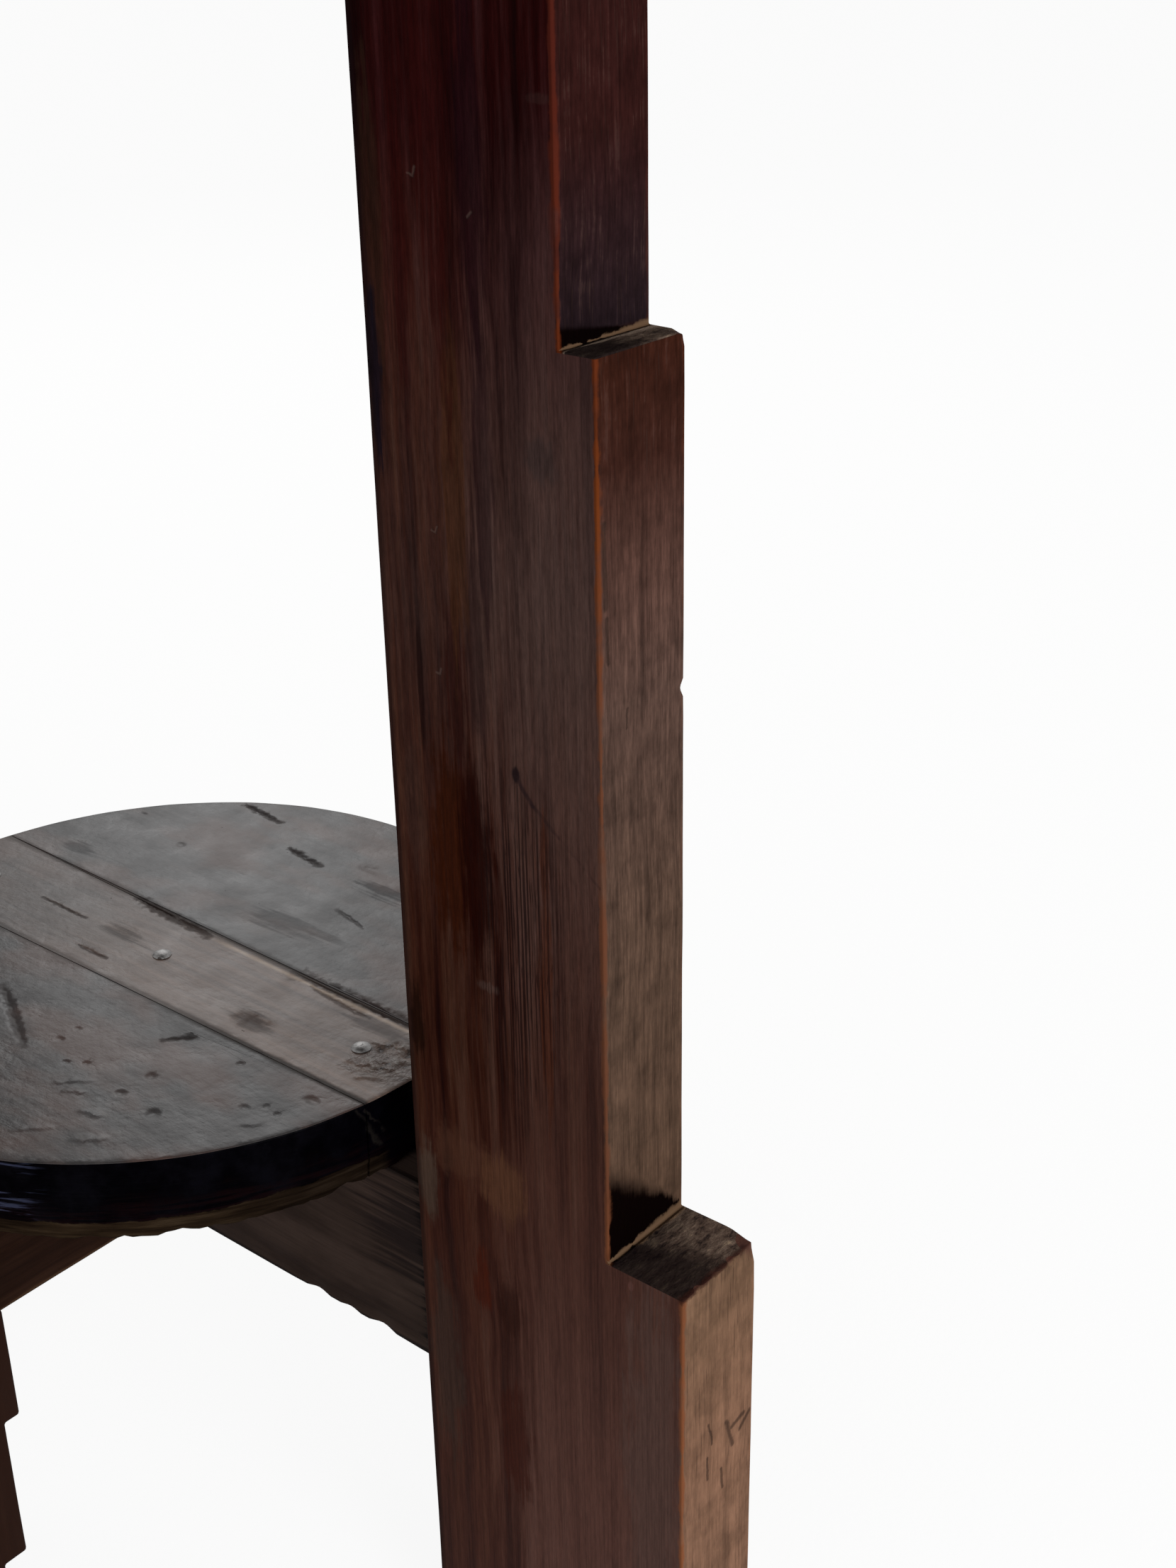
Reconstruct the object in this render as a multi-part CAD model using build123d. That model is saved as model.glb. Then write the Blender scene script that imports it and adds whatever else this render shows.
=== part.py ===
"""Tilt top table: two stepped standards, a low round shelf on crossed rails, and a round top
that turns on two screws through its cleats. Millimetres, +Z up. The origin is on the floor, on
the table's axis, with the standards along X and the short feet along Y."""
import os
from math import cos, pi, sin, sqrt

from build123d import *

# Standards: planks on edge, straight inside and stepped outside
leg_thickness = 35.0
leg_inner = 136.0
leg_foot_width = 101.5
leg_middle_width = 75.0
leg_top_width = 64.0
leg_foot_height = 182.0
leg_middle_height = 259.0
leg_top_height = 259.0

# Crossed rails under the shelf
rail_thickness = 28.0
main_rail_depth = 67.0
cross_rail_depth = 59.6
rail_tenon_length = 40.0
rail_tenon_thickness = 12.0
rail_tenon_shoulder = 9.0
joint_clearance = 0.1

# Short feet under the ends of the cross rail, stepped on both edges and tenoned up into it
foot_inner = 90.8
foot_first_step_in = 6.0
foot_second_step_in = 9.0
foot_sole_height = 12.0
foot_toe_height = 68.5
foot_top_width = 85.0
foot_toe_width = 134.0
foot_tenon_length = 40.0
foot_tenon_rise = 30.0
cross_rail_end = 150.0

# Round shelf: two half-moon boards with a narrow, slightly tapered strip between them
shelf_radius = 122.5
shelf_thickness = 28.0
shelf_top_height = 200.6
strip_front = 22.0
strip_back_right = 19.0
strip_back_left = 25.0
shelf_board_gap = 0.8

# Nails through the strip, and screws up through the cross rail
nail_shank = 3.2
nail_head = 7.0
nail_head_height = 1.2
nail_length = 52.0
nail_spacing = 96.6
shelf_screw_inner = 48.0
shelf_screw_outer = 76.0

# Wood screws
screw_shank = 5.0
screw_head = 10.0
screw_head_height = 3.0
screw_grip = 20.0
screw_bite = 15.0
screw_clearance = 0.1
counterbore = 11.4

# Round top of four boards
top_radius = 300.0
top_thickness = 24.0
top_board_count = 4
top_board_gap = 0.4
dowel_diameter = 8.0
dowel_length = 60.0
dowel_spacing = 140.0
dowel_clearance = 0.1

# Cleats under the top, outside the standards, and the screws they turn on
tilt_gap = 2.5
stop_overlap = 2.0
cleat_gap = 2.4
cleat_width = 25.0
cleat_depth = 45.0
cleat_end_depth = 20.0
cleat_taper = 64.0
cleat_setback = 12.0
cleat_screw_inner = 40.0
cleat_screw_middle = 105.0
cleat_screw_end = 18.0
pivot_shank = 10.0
pivot_bite = 42.0
pivot_head = 17.0
pivot_head_height = 6.4
pivot_running = 0.08
washer_diameter = 24.0
washer_thickness = 1.8
washer_play = 0.3

# Rail between the standards, just under the top
upper_rail_thickness = 22.0
upper_rail_depth = 65.0
upper_tenon_length = 30.0
upper_tenon_thickness = 10.0
upper_tenon_land = 7.0

# Turn button under the top, and the iron angle on the upper rail that it turns beneath
keeper_length = 60.0
keeper_metal = 3.0
keeper_reach = 14.0
keeper_height = 28.0
keeper_drop = 4.0
keeper_screw_spacing = 40.0
keeper_screw_shank = 4.0
keeper_screw_head = 7.5
keeper_screw_head_height = 2.2
keeper_screw_length = 14.0
button_width = 22.0
button_thickness = 14.0
button_nose = 28.0
button_tail = 14.0
button_play = 0.6
nose_clearance = 2.5
boss_radius = 15.0
latch_screw_shank = 5.0
latch_screw_bite = 16.0
latch_washer_diameter = 14.0
latch_washer_thickness = 1.0

# Heights and places that follow from them
leg_half = leg_thickness / 2
leg_height = leg_foot_height + leg_middle_height + leg_top_height
pivot_drop = leg_half + tilt_gap
pivot_height = leg_height - pivot_drop
swing_radius = pivot_drop - tilt_gap / 2
shelf_under = shelf_top_height - shelf_thickness
main_rail_under = shelf_under - main_rail_depth
cross_rail_under = shelf_under - cross_rail_depth
lap_height = (shelf_under + cross_rail_under) / 2
top_surface = leg_height + top_thickness
cleat_inner = leg_inner + leg_top_width + cleat_gap
cleat_outer = cleat_inner + cleat_width
cleat_middle = (cleat_inner + cleat_outer) / 2
cleat_half_length = sqrt(top_radius ** 2 - cleat_outer ** 2) - cleat_setback
upper_rail_half = upper_rail_thickness / 2
upper_rail_top = pivot_height + sqrt(swing_radius ** 2 - upper_rail_half ** 2)
upper_rail_under = upper_rail_top - upper_rail_depth
keeper_top = upper_rail_top - keeper_drop
button_top = keeper_top - keeper_metal - button_play
button_under = button_top - button_thickness
button_y = upper_rail_half + keeper_metal + nose_clearance + button_nose
keeper_screw_z = keeper_top - keeper_height * 0.65


def bar(x0, x1, y0, y1, z0, z1):
    """A square-edged block between two opposite corners."""
    middle = Pos((x0 + x1) / 2, (y0 + y1) / 2, (z0 + z1) / 2)
    return middle * Box(x1 - x0, y1 - y0, z1 - z0)


def rod(radius, start, direction, length):
    """A round bar from a start point along X, Y or Z."""
    plane = Plane(origin=start, z_dir=direction)
    return plane * Cylinder(radius, length, align=(Align.CENTER, Align.CENTER, Align.MIN))


def plank(outline, plane, thickness):
    """A flat piece cut to an outline, centred on its plane."""
    edge = Polyline(*outline, close=True)
    return extrude(make_face(plane * edge), amount=thickness / 2, both=True)


def mirrored(shape, plane):
    """The same piece on the other side of the table."""
    return mirror(shape, about=plane)


def group(solids):
    """Separate solids that share one node."""
    return Compound(children=list(solids))


def screw(head_point, direction, shank, head, head_height, length):
    """A pan-headed screw: its head sits back from head_point, its shank runs along direction."""
    back = tuple(p - d * head_height for p, d in zip(head_point, direction))
    body = rod(head / 2, back, direction, head_height)
    return body + rod(shank / 2, head_point, direction, length)


def main_tenon_box(clearance):
    """The main rail's tenon at the +X end, or its mortise when it has clearance."""
    half = rail_tenon_thickness / 2 + clearance
    low = main_rail_under + rail_tenon_shoulder - clearance
    high = shelf_under - rail_tenon_shoulder + clearance
    return bar(leg_inner - 1.0, leg_inner + rail_tenon_length + clearance, -half, half, low, high)


def foot_tenon_box(clearance):
    """The tenon on the -Y foot's top, or its mortise in the cross rail when it has clearance."""
    half = rail_tenon_thickness / 2 + clearance
    near = -foot_inner - rail_tenon_shoulder + clearance
    far = -foot_inner - rail_tenon_shoulder - foot_tenon_length - clearance
    return bar(-half, half, far, near, cross_rail_under - 1.0, cross_rail_under + foot_tenon_rise + clearance)


def upper_tenon_box(clearance):
    """The upper rail's tenon at the +X end, kept below the pivot screw."""
    half = upper_tenon_thickness / 2 + clearance
    low = upper_rail_under + upper_tenon_land - clearance
    high = pivot_height - pivot_shank / 2 - upper_tenon_land + clearance
    return bar(leg_inner - 1.0, leg_inner + upper_tenon_length + clearance, -half, half, low, high)


def standard():
    """The +X standard: stepped outside, its top rounded on the side that the top tilts to."""
    first_step = leg_foot_height
    second_step = leg_foot_height + leg_middle_height
    side = plank(
        [
            (leg_inner, 0),
            (leg_inner + leg_foot_width, 0),
            (leg_inner + leg_foot_width, first_step),
            (leg_inner + leg_middle_width, first_step),
            (leg_inner + leg_middle_width, second_step),
            (leg_inner + leg_top_width, second_step),
            (leg_inner + leg_top_width, leg_height),
            (leg_inner, leg_height),
        ],
        Plane.XZ,
        leg_thickness,
    )
    round_start = (stop_overlap, leg_height)
    round_middle = (-swing_radius * sin(pi / 6), pivot_height + swing_radius * cos(pi / 6))
    round_end = (-leg_half, pivot_height + sqrt(swing_radius ** 2 - leg_half ** 2))
    straight = Polyline(round_end, (-leg_half, 0), (leg_half, 0), (leg_half, leg_height), round_start)
    outline = Curve() + [straight, ThreePointArc(round_start, round_middle, round_end)]
    reach = leg_inner + leg_foot_width + leg_middle_width
    side = side & extrude(make_face(Plane.YZ * outline), amount=reach)
    side -= main_tenon_box(joint_clearance)
    side -= upper_tenon_box(joint_clearance)
    outer = leg_inner + leg_top_width
    side -= rod(pivot_shank / 2 + screw_clearance, (outer + 1, 0, pivot_height), (-1, 0, 0),
                pivot_bite + 2)
    return side


def short_foot():
    """The -Y foot: each edge steps outwards on its way down."""
    waist = foot_inner + foot_first_step_in
    sole = waist + foot_second_step_in
    outline = [
        (-foot_inner, cross_rail_under),
        (-foot_inner, foot_toe_height),
        (-waist, foot_toe_height),
        (-waist, foot_sole_height),
        (-sole, foot_sole_height),
        (-sole, 0),
        (-foot_inner - foot_toe_width, 0),
        (-foot_inner - foot_toe_width, foot_toe_height),
        (-foot_inner - foot_top_width, foot_toe_height),
        (-foot_inner - foot_top_width, cross_rail_under),
    ]
    return plank(outline, Plane.YZ, rail_thickness) + foot_tenon_box(0)


def shelf_nail_points():
    """Three nails down the middle of the strip."""
    return [(x, 0.0) for x in (-nail_spacing, 0.0, nail_spacing)]


def shelf_screw_points():
    """Two hidden screws under each half-moon board."""
    return [y * s for s in (-1, 1) for y in (shelf_screw_inner, shelf_screw_outer)]


def nail_holes():
    """Where the nails pass through the strip and the rails."""
    radius = nail_shank / 2 + screw_clearance
    down = (0, 0, -1)
    return [rod(radius, (x, y, shelf_top_height + 1), down, nail_length + 1 + screw_clearance)
            for x, y in shelf_nail_points()]


def main_rail():
    """The rail along X, tenoned into both standards and halved on top for the cross rail."""
    half = rail_thickness / 2
    rail = bar(-leg_inner, leg_inner, -half, half, main_rail_under, shelf_under)
    tenon = main_tenon_box(0)
    rail += [tenon, mirrored(tenon, Plane.YZ)]
    notch = half + joint_clearance
    rail -= bar(-notch, notch, -half - 1, half + 1, lap_height, shelf_under + 1)
    for hole in nail_holes():
        rail -= hole
    return rail


def cross_rail():
    """The rail along Y, mortised for both feet and halved below to sit in the main rail."""
    half = rail_thickness / 2
    rail = bar(-half, half, -cross_rail_end, cross_rail_end, cross_rail_under, shelf_under)
    mortise = foot_tenon_box(joint_clearance)
    rail -= [mortise, mirrored(mortise, Plane.XZ)]
    notch = half + joint_clearance
    rail -= bar(-half - 1, half + 1, -notch, notch, cross_rail_under - 1, lap_height)
    for hole in nail_holes():
        rail -= hole
    seat = shelf_under - screw_grip
    for y in shelf_screw_points():
        rail -= rod(counterbore / 2, (0, y, seat), (0, 0, -1), cross_rail_depth)
        rail -= rod(screw_shank / 2 + screw_clearance, (0, y, seat - 1), (0, 0, 1), screw_grip + 2)
    return rail


def upper_rail():
    """The rail that ties the standards' tops, low enough for the top to swing over it."""
    half = upper_rail_half
    rail = bar(-leg_inner, leg_inner, -half, half, upper_rail_under, upper_rail_top)
    tenon = upper_tenon_box(0)
    rail += [tenon, mirrored(tenon, Plane.YZ)]
    for x in (-keeper_screw_spacing / 2, keeper_screw_spacing / 2):
        rail -= rod(keeper_screw_shank / 2 + screw_clearance, (x, half + 1, keeper_screw_z), (0, -1, 0),
                    keeper_screw_length - keeper_metal + 1 + screw_clearance)
    return rail


def shelf_boards():
    """The round shelf, sawn into its front board, middle strip and back board."""
    disc = Pos(0, 0, shelf_under) * Cylinder(
        shelf_radius, shelf_thickness, align=(Align.CENTER, Align.CENTER, Align.MIN))
    far = shelf_radius + 10
    slope = (strip_back_right - strip_back_left) / (2 * shelf_radius)
    middle_back = (strip_back_right + strip_back_left) / 2
    left_back = middle_back - slope * far
    right_back = middle_back + slope * far
    half_gap = shelf_board_gap / 2
    middle_plane = Plane.XY.offset(shelf_under + shelf_thickness / 2)
    depth = shelf_thickness + 2
    front_edge = -strip_front
    front = disc & plank(
        [(-far, front_edge - half_gap), (-far, -far), (far, -far), (far, front_edge - half_gap)],
        middle_plane, depth)
    strip = disc & plank(
        [(-far, front_edge + half_gap), (far, front_edge + half_gap),
         (far, right_back - half_gap), (-far, left_back - half_gap)],
        middle_plane, depth)
    back = disc & plank(
        [(-far, left_back + half_gap), (far, right_back + half_gap), (far, far), (-far, far)],
        middle_plane, depth)
    for hole in nail_holes():
        strip -= hole
    for y in shelf_screw_points():
        hole = rod(screw_shank / 2 + screw_clearance, (0, y, shelf_under - 1), (0, 0, 1), screw_bite + 2)
        if y < 0:
            front -= hole
        else:
            back -= hole
    return front, strip, back


def shelf_nails():
    """Round-headed nails, heads down on the strip."""
    down = (0, 0, -1)
    return group(
        screw((x, y, shelf_top_height), down, nail_shank, nail_head, nail_head_height, nail_length)
        for x, y in shelf_nail_points())


def shelf_screws():
    """Screws from under the cross rail up into the half-moon boards."""
    seat = shelf_under - screw_grip
    return group(
        screw((0, y, seat), (0, 0, 1), screw_shank, screw_head, screw_head_height, screw_grip + screw_bite)
        for y in shelf_screw_points())


def top_joints():
    """The Y places where two boards of the top meet."""
    width = 2 * top_radius / top_board_count
    return [-top_radius + width * n for n in range(1, top_board_count)]


def top_dowels(clearance):
    """Dowels across each joint of the top, or their holes when they have clearance."""
    height = leg_height + top_thickness / 2
    length = dowel_length + 2 * clearance
    radius = dowel_diameter / 2 + clearance
    return [rod(radius, (x, y - length / 2, height), (0, 1, 0), length)
            for y in top_joints() for x in (-dowel_spacing, 0.0, dowel_spacing)]


def cleat_screw_points():
    """Screw places along one cleat, from its middle outwards on both sides."""
    steps = (cleat_screw_inner, cleat_screw_middle, cleat_half_length - cleat_screw_end)
    return [(cleat_middle * side, y * way) for side in (-1, 1) for way in (-1, 1) for y in steps]


def top_boards():
    """The round top as boards along X, bored for dowels, cleat screws and the latch screw."""
    disc = Pos(0, 0, leg_height) * Cylinder(
        top_radius, top_thickness, align=(Align.CENTER, Align.CENTER, Align.MIN))
    edges = [-top_radius - 10, *top_joints(), top_radius + 10]
    bores = top_dowels(dowel_clearance)
    bores += [rod(screw_shank / 2 + screw_clearance, (x, y, leg_height - 1), (0, 0, 1), screw_bite + 2)
              for x, y in cleat_screw_points()]
    bores.append(rod(latch_screw_shank / 2 + screw_clearance, (0, button_y, leg_height - 1), (0, 0, 1),
                     latch_screw_bite + 2))
    half_gap = top_board_gap / 2
    boards = []
    for near, far in zip(edges, edges[1:]):
        strip = bar(-top_radius - 10, top_radius + 10, near + half_gap, far - half_gap,
                    leg_height - 1, top_surface + 1)
        board = disc & strip
        for bore in bores:
            board -= bore
        boards.append(board)
    return boards


def cleat():
    """The +X cleat: it ties the boards together and carries the pivot hole."""
    end = cleat_half_length
    low = leg_height - cleat_depth
    outline = [
        (-end, leg_height),
        (-end, leg_height - cleat_end_depth),
        (-end + cleat_taper, low),
        (end - cleat_taper, low),
        (end, leg_height - cleat_end_depth),
        (end, leg_height),
    ]
    piece = plank(outline, Plane.YZ.offset(cleat_middle), cleat_width)
    piece -= rod(pivot_shank / 2 + pivot_running, (cleat_inner - 1, 0, pivot_height), (1, 0, 0),
                 cleat_width + 2)
    seat = leg_height - screw_grip
    for x, y in cleat_screw_points():
        if x > 0:
            piece -= rod(counterbore / 2, (x, y, seat), (0, 0, -1), cleat_depth)
            piece -= rod(screw_shank / 2 + screw_clearance, (x, y, seat - 1), (0, 0, 1), screw_grip + 2)
    return piece


def cleat_screws():
    """Screws up through the cleats into the boards of the top."""
    seat = leg_height - screw_grip
    return group(
        screw((x, y, seat), (0, 0, 1), screw_shank, screw_head, screw_head_height, screw_grip + screw_bite)
        for x, y in cleat_screw_points())


def pivot_head_seat():
    """Where the pivot screw's head begins, outside the outer washer."""
    return cleat_outer + washer_play + washer_thickness


def pivot_screw():
    """The +X coach screw: hexagon head, plain shank, fixed in the standard."""
    seat = pivot_head_seat()
    bite_end = leg_inner + leg_top_width - pivot_bite
    shank = rod(pivot_shank / 2, (seat, 0, pivot_height), (-1, 0, 0), seat - bite_end)
    hexagon = RegularPolygon(pivot_head / 2, 6, major_radius=False)
    plane = Plane(origin=(seat, 0, pivot_height), z_dir=(1, 0, 0))
    return shank + extrude(plane * hexagon, amount=pivot_head_height)


def washer(face, thickness, diameter, bore):
    """A flat washer on the pivot axis, its inner face at X = face."""
    ring = rod(diameter / 2, (face, 0, pivot_height), (1, 0, 0), thickness)
    return ring - rod(bore / 2 + screw_clearance, (face - 1, 0, pivot_height), (1, 0, 0), thickness + 2)


def pivot_washers():
    """A washer between each standard and its cleat, and one under each pivot screw's head."""
    inner_face = leg_inner + leg_top_width
    outer_face = cleat_outer + washer_play
    pair = [washer(face, washer_thickness, washer_diameter, pivot_shank) for face in (inner_face, outer_face)]
    return group(pair + [mirrored(ring, Plane.YZ) for ring in pair])


def latch_keeper():
    """An iron angle screwed to the upper rail, its ledge above the button's nose."""
    face = upper_rail_half
    half = keeper_length / 2
    angle = bar(-half, half, face, face + keeper_metal, keeper_top - keeper_height, keeper_top)
    angle += bar(-half, half, face, face + keeper_reach, keeper_top - keeper_metal, keeper_top)
    for x in (-keeper_screw_spacing / 2, keeper_screw_spacing / 2):
        angle -= rod(keeper_screw_shank / 2 + screw_clearance, (x, face - 1, keeper_screw_z), (0, 1, 0),
                     keeper_metal + 2)
    return angle


def keeper_screws():
    """Two screws through the keeper into the upper rail."""
    face = upper_rail_half + keeper_metal
    return group(
        screw((x, face, keeper_screw_z), (0, -1, 0), keeper_screw_shank, keeper_screw_head,
              keeper_screw_head_height, keeper_screw_length)
        for x in (-keeper_screw_spacing / 2, keeper_screw_spacing / 2))


def latch_boss():
    """A round block that drops the button to the keeper's height."""
    low = button_top + washer_play
    boss = rod(boss_radius, (0, button_y, low), (0, 0, 1), leg_height - low)
    return boss - rod(latch_screw_shank / 2 + screw_clearance, (0, button_y, low - 1), (0, 0, 1),
                      leg_height - low + 2)


def latch_button():
    """The turn button, lying along X with its nose towards +X while it is open."""
    radius = button_width / 2
    nose = button_nose - radius
    tail = button_tail - radius
    height = (Align.CENTER, Align.CENTER, Align.MIN)
    bar_length = nose + tail
    button = Pos((nose - tail) / 2, button_y, button_under) * Box(
        bar_length, button_width, button_thickness, align=height)
    for x in (nose, -tail):
        button += Pos(x, button_y, button_under) * Cylinder(radius, button_thickness, align=height)
    return button - rod(latch_screw_shank / 2 + pivot_running, (0, button_y, button_under - 1), (0, 0, 1),
                        button_thickness + 2)


def latch_washer():
    """The washer between the button and the screw's head."""
    low = button_under - washer_play - latch_washer_thickness
    ring = rod(latch_washer_diameter / 2, (0, button_y, low), (0, 0, 1), latch_washer_thickness)
    return ring - rod(latch_screw_shank / 2 + screw_clearance, (0, button_y, low - 1), (0, 0, 1),
                      latch_washer_thickness + 2)


def latch_screw():
    """The screw that the button turns on, driven up into the top."""
    seat = button_under - washer_play - latch_washer_thickness
    return screw((0, button_y, seat), (0, 0, 1), latch_screw_shank, screw_head, screw_head_height,
                 leg_height - seat + latch_screw_bite)


front_board, middle_strip, back_board = shelf_boards()
right_leg = standard()
front_foot = short_foot()
right_cleat = cleat()
right_pivot = pivot_screw()

nodes = {
    "leg_right": right_leg,
    "leg_left": mirrored(right_leg, Plane.YZ),
    "foot_front": front_foot,
    "foot_back": mirrored(front_foot, Plane.XZ),
    "main_rail": main_rail(),
    "cross_rail": cross_rail(),
    "upper_rail": upper_rail(),
    "shelf_front_board": front_board,
    "shelf_middle_strip": middle_strip,
    "shelf_back_board": back_board,
    "shelf_nails": shelf_nails(),
    "shelf_screws": shelf_screws(),
    "top_dowels": group(top_dowels(0)),
    "cleat_right": right_cleat,
    "cleat_left": mirrored(right_cleat, Plane.YZ),
    "cleat_screws": cleat_screws(),
    "pivot_screws": group([right_pivot, mirrored(right_pivot, Plane.YZ)]),
    "pivot_washers": pivot_washers(),
    "latch_keeper": latch_keeper(),
    "keeper_screws": keeper_screws(),
    "latch_boss": latch_boss(),
    "latch_button": latch_button(),
    "latch_washer": latch_washer(),
    "latch_screw": latch_screw(),
}
for number, board in enumerate(top_boards(), start=1):
    nodes[f"top_board_{number}"] = board

os.makedirs("parts", exist_ok=True)
for name, shape in nodes.items():
    export_step(shape, f"parts/{name}.step")
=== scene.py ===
"""A round tilt top table in dark stained wood: two stepped standards, a low round shelf on
crossed rails with short stepped feet, and a top that turns up on two coach screws."""
import math

import bmesh
import bpy
from mathutils import Matrix, Vector, geometry, noise


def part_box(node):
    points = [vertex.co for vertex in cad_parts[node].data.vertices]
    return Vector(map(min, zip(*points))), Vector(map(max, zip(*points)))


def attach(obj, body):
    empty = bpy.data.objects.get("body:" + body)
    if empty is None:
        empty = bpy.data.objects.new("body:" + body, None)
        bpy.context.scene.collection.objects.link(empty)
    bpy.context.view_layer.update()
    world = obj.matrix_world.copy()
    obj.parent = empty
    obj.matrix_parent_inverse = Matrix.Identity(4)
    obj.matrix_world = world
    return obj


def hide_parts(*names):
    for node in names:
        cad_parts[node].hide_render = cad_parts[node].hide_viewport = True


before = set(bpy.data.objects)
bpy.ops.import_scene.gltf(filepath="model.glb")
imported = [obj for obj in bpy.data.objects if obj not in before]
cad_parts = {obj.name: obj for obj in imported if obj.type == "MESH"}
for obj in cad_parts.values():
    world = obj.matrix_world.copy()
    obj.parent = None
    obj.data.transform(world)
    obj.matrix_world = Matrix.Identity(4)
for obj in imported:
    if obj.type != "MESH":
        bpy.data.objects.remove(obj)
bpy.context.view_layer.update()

# The camera stands low on the right, close to the near standard, and looks down past it at
# the shelf. Its place and turn were worked out from the standard's edges and the shelf's rim.
camera_place = (0.5101, -0.3833, 0.5544)
photo_height = 2212
focal_pixels = 2913.5
view_azimuth = math.radians(39.676)
view_elevation = math.radians(25.167)
view_roll = math.radians(-1.015)
level_right = Vector((math.cos(view_azimuth), math.sin(view_azimuth), 0))
away_from_table = Vector((math.sin(view_azimuth) * math.cos(view_elevation),
                          -math.cos(view_azimuth) * math.cos(view_elevation),
                          math.sin(view_elevation)))
level_up = away_from_table.cross(level_right)
camera_right = level_right * math.cos(view_roll) + level_up * math.sin(view_roll)
camera_up = level_up * math.cos(view_roll) - level_right * math.sin(view_roll)
camera_data = bpy.data.cameras.new("camera")
camera_data.sensor_width = 36.0
camera_data.lens = camera_data.sensor_width * focal_pixels / photo_height
camera_data.clip_start = 0.01
camera = bpy.data.objects.new("camera", camera_data)
camera_turn = Matrix((camera_right, camera_up, away_from_table)).transposed().to_4x4()
camera.matrix_world = Matrix.Translation(camera_place) @ camera_turn
bpy.context.collection.objects.link(camera)
bpy.context.scene.camera = camera
bpy.context.scene.view_settings.view_transform = "Standard"

# The studio is a white paper floor under a pale sky of even light, with one broad lamp low on
# the right, which reaches in under the top and lights the standards' narrow faces, and a dim
# one low behind, like a window, whose mirror image lies on the shelf and shows its dents.
floor_size = 90.0
paper_colour = (0.94, 0.94, 0.935, 1)
paper_glow = 0.90
white = (1, 1, 1, 1)
sky_strength = 0.62


def shown_white(tree, plain, bright, share):
    """Shows bright in place of plain to the rays that a camera, mirror or glass sends out."""
    rays = tree.nodes.new("ShaderNodeLightPath").outputs
    seen = rays["Is Camera Ray"]
    for kind in ("Is Glossy Ray", "Is Transmission Ray"):
        either = tree.nodes.new("ShaderNodeMath")
        either.operation = "MAXIMUM"
        tree.links.new(seen, either.inputs[0])
        tree.links.new(rays[kind], either.inputs[1])
        seen = either.outputs[0]
    part = tree.nodes.new("ShaderNodeMath")
    part.operation = "MULTIPLY"
    part.inputs[1].default_value = share
    tree.links.new(seen, part.inputs[0])
    choice = tree.nodes.new("ShaderNodeMixShader")
    tree.links.new(part.outputs[0], choice.inputs["Fac"])
    tree.links.new(plain.outputs[0], choice.inputs[1])
    tree.links.new(bright.outputs[0], choice.inputs[2])
    return choice.outputs[0]


bpy.ops.mesh.primitive_plane_add(size=floor_size)
floor = bpy.context.object
floor.name = "paper_floor"
paper = bpy.data.materials.new("white_paper")
paper.use_nodes = True
paper_tree = paper.node_tree
paper_shader = paper_tree.nodes["Principled BSDF"]
paper_shader.inputs["Base Color"].default_value = paper_colour
paper_shader.inputs["Roughness"].default_value = 0.9
paper_place = paper_tree.nodes.new("ShaderNodeTexCoord")
paper_fibre = paper_tree.nodes.new("ShaderNodeTexNoise")
paper_fibre.inputs["Scale"].default_value = 320
paper_bump = paper_tree.nodes.new("ShaderNodeBump")
paper_bump.inputs["Distance"].default_value = 0.0002
paper_tree.links.new(paper_place.outputs["Object"], paper_fibre.inputs["Vector"])
paper_tree.links.new(paper_fibre.outputs["Fac"], paper_bump.inputs["Height"])
paper_tree.links.new(paper_bump.outputs["Normal"], paper_shader.inputs["Normal"])
paper_white = paper_tree.nodes.new("ShaderNodeEmission")
paper_white.inputs["Color"].default_value = white
paper_white.inputs["Strength"].default_value = 1.0
paper_tree.links.new(shown_white(paper_tree, paper_shader, paper_white, paper_glow),
                     paper_tree.nodes["Material Output"].inputs["Surface"])
floor.data.materials.append(paper)

world = bpy.data.worlds.new("studio")
bpy.context.scene.world = world
world.use_nodes = True
sky = world.node_tree
sky_light = sky.nodes["Background"]
sky_light.inputs["Color"].default_value = white
sky_light.inputs["Strength"].default_value = sky_strength
sky_seen = sky.nodes.new("ShaderNodeBackground")
sky_seen.inputs["Color"].default_value = white
sky_seen.inputs["Strength"].default_value = 1.0
sky.links.new(shown_white(sky, sky_light, sky_seen, 1.0), sky.nodes["World Output"].inputs["Surface"])

for lamp_name, lamp_place, lamp_target, lamp_size, lamp_watts in (
        ("side_lamp", Vector((2.3, -0.35, 0.95)), Vector((0.1, 0.0, 0.25)), 1.3, 34),
        ("window_lamp", Vector((-1.59, 1.37, 1.47)), Vector((0.0, 0.0, 0.20)), 0.8, 8)):
    lamp_data = bpy.data.lights.new(lamp_name, "AREA")
    lamp_data.shape = "DISK"
    lamp_data.size = lamp_size
    lamp_data.energy = lamp_watts
    lamp = bpy.data.objects.new(lamp_name, lamp_data)
    lamp.location = lamp_place
    lamp.rotation_euler = (lamp_target - lamp_place).to_track_quat("-Z", "Y").to_euler()
    bpy.context.collection.objects.link(lamp)

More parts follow.
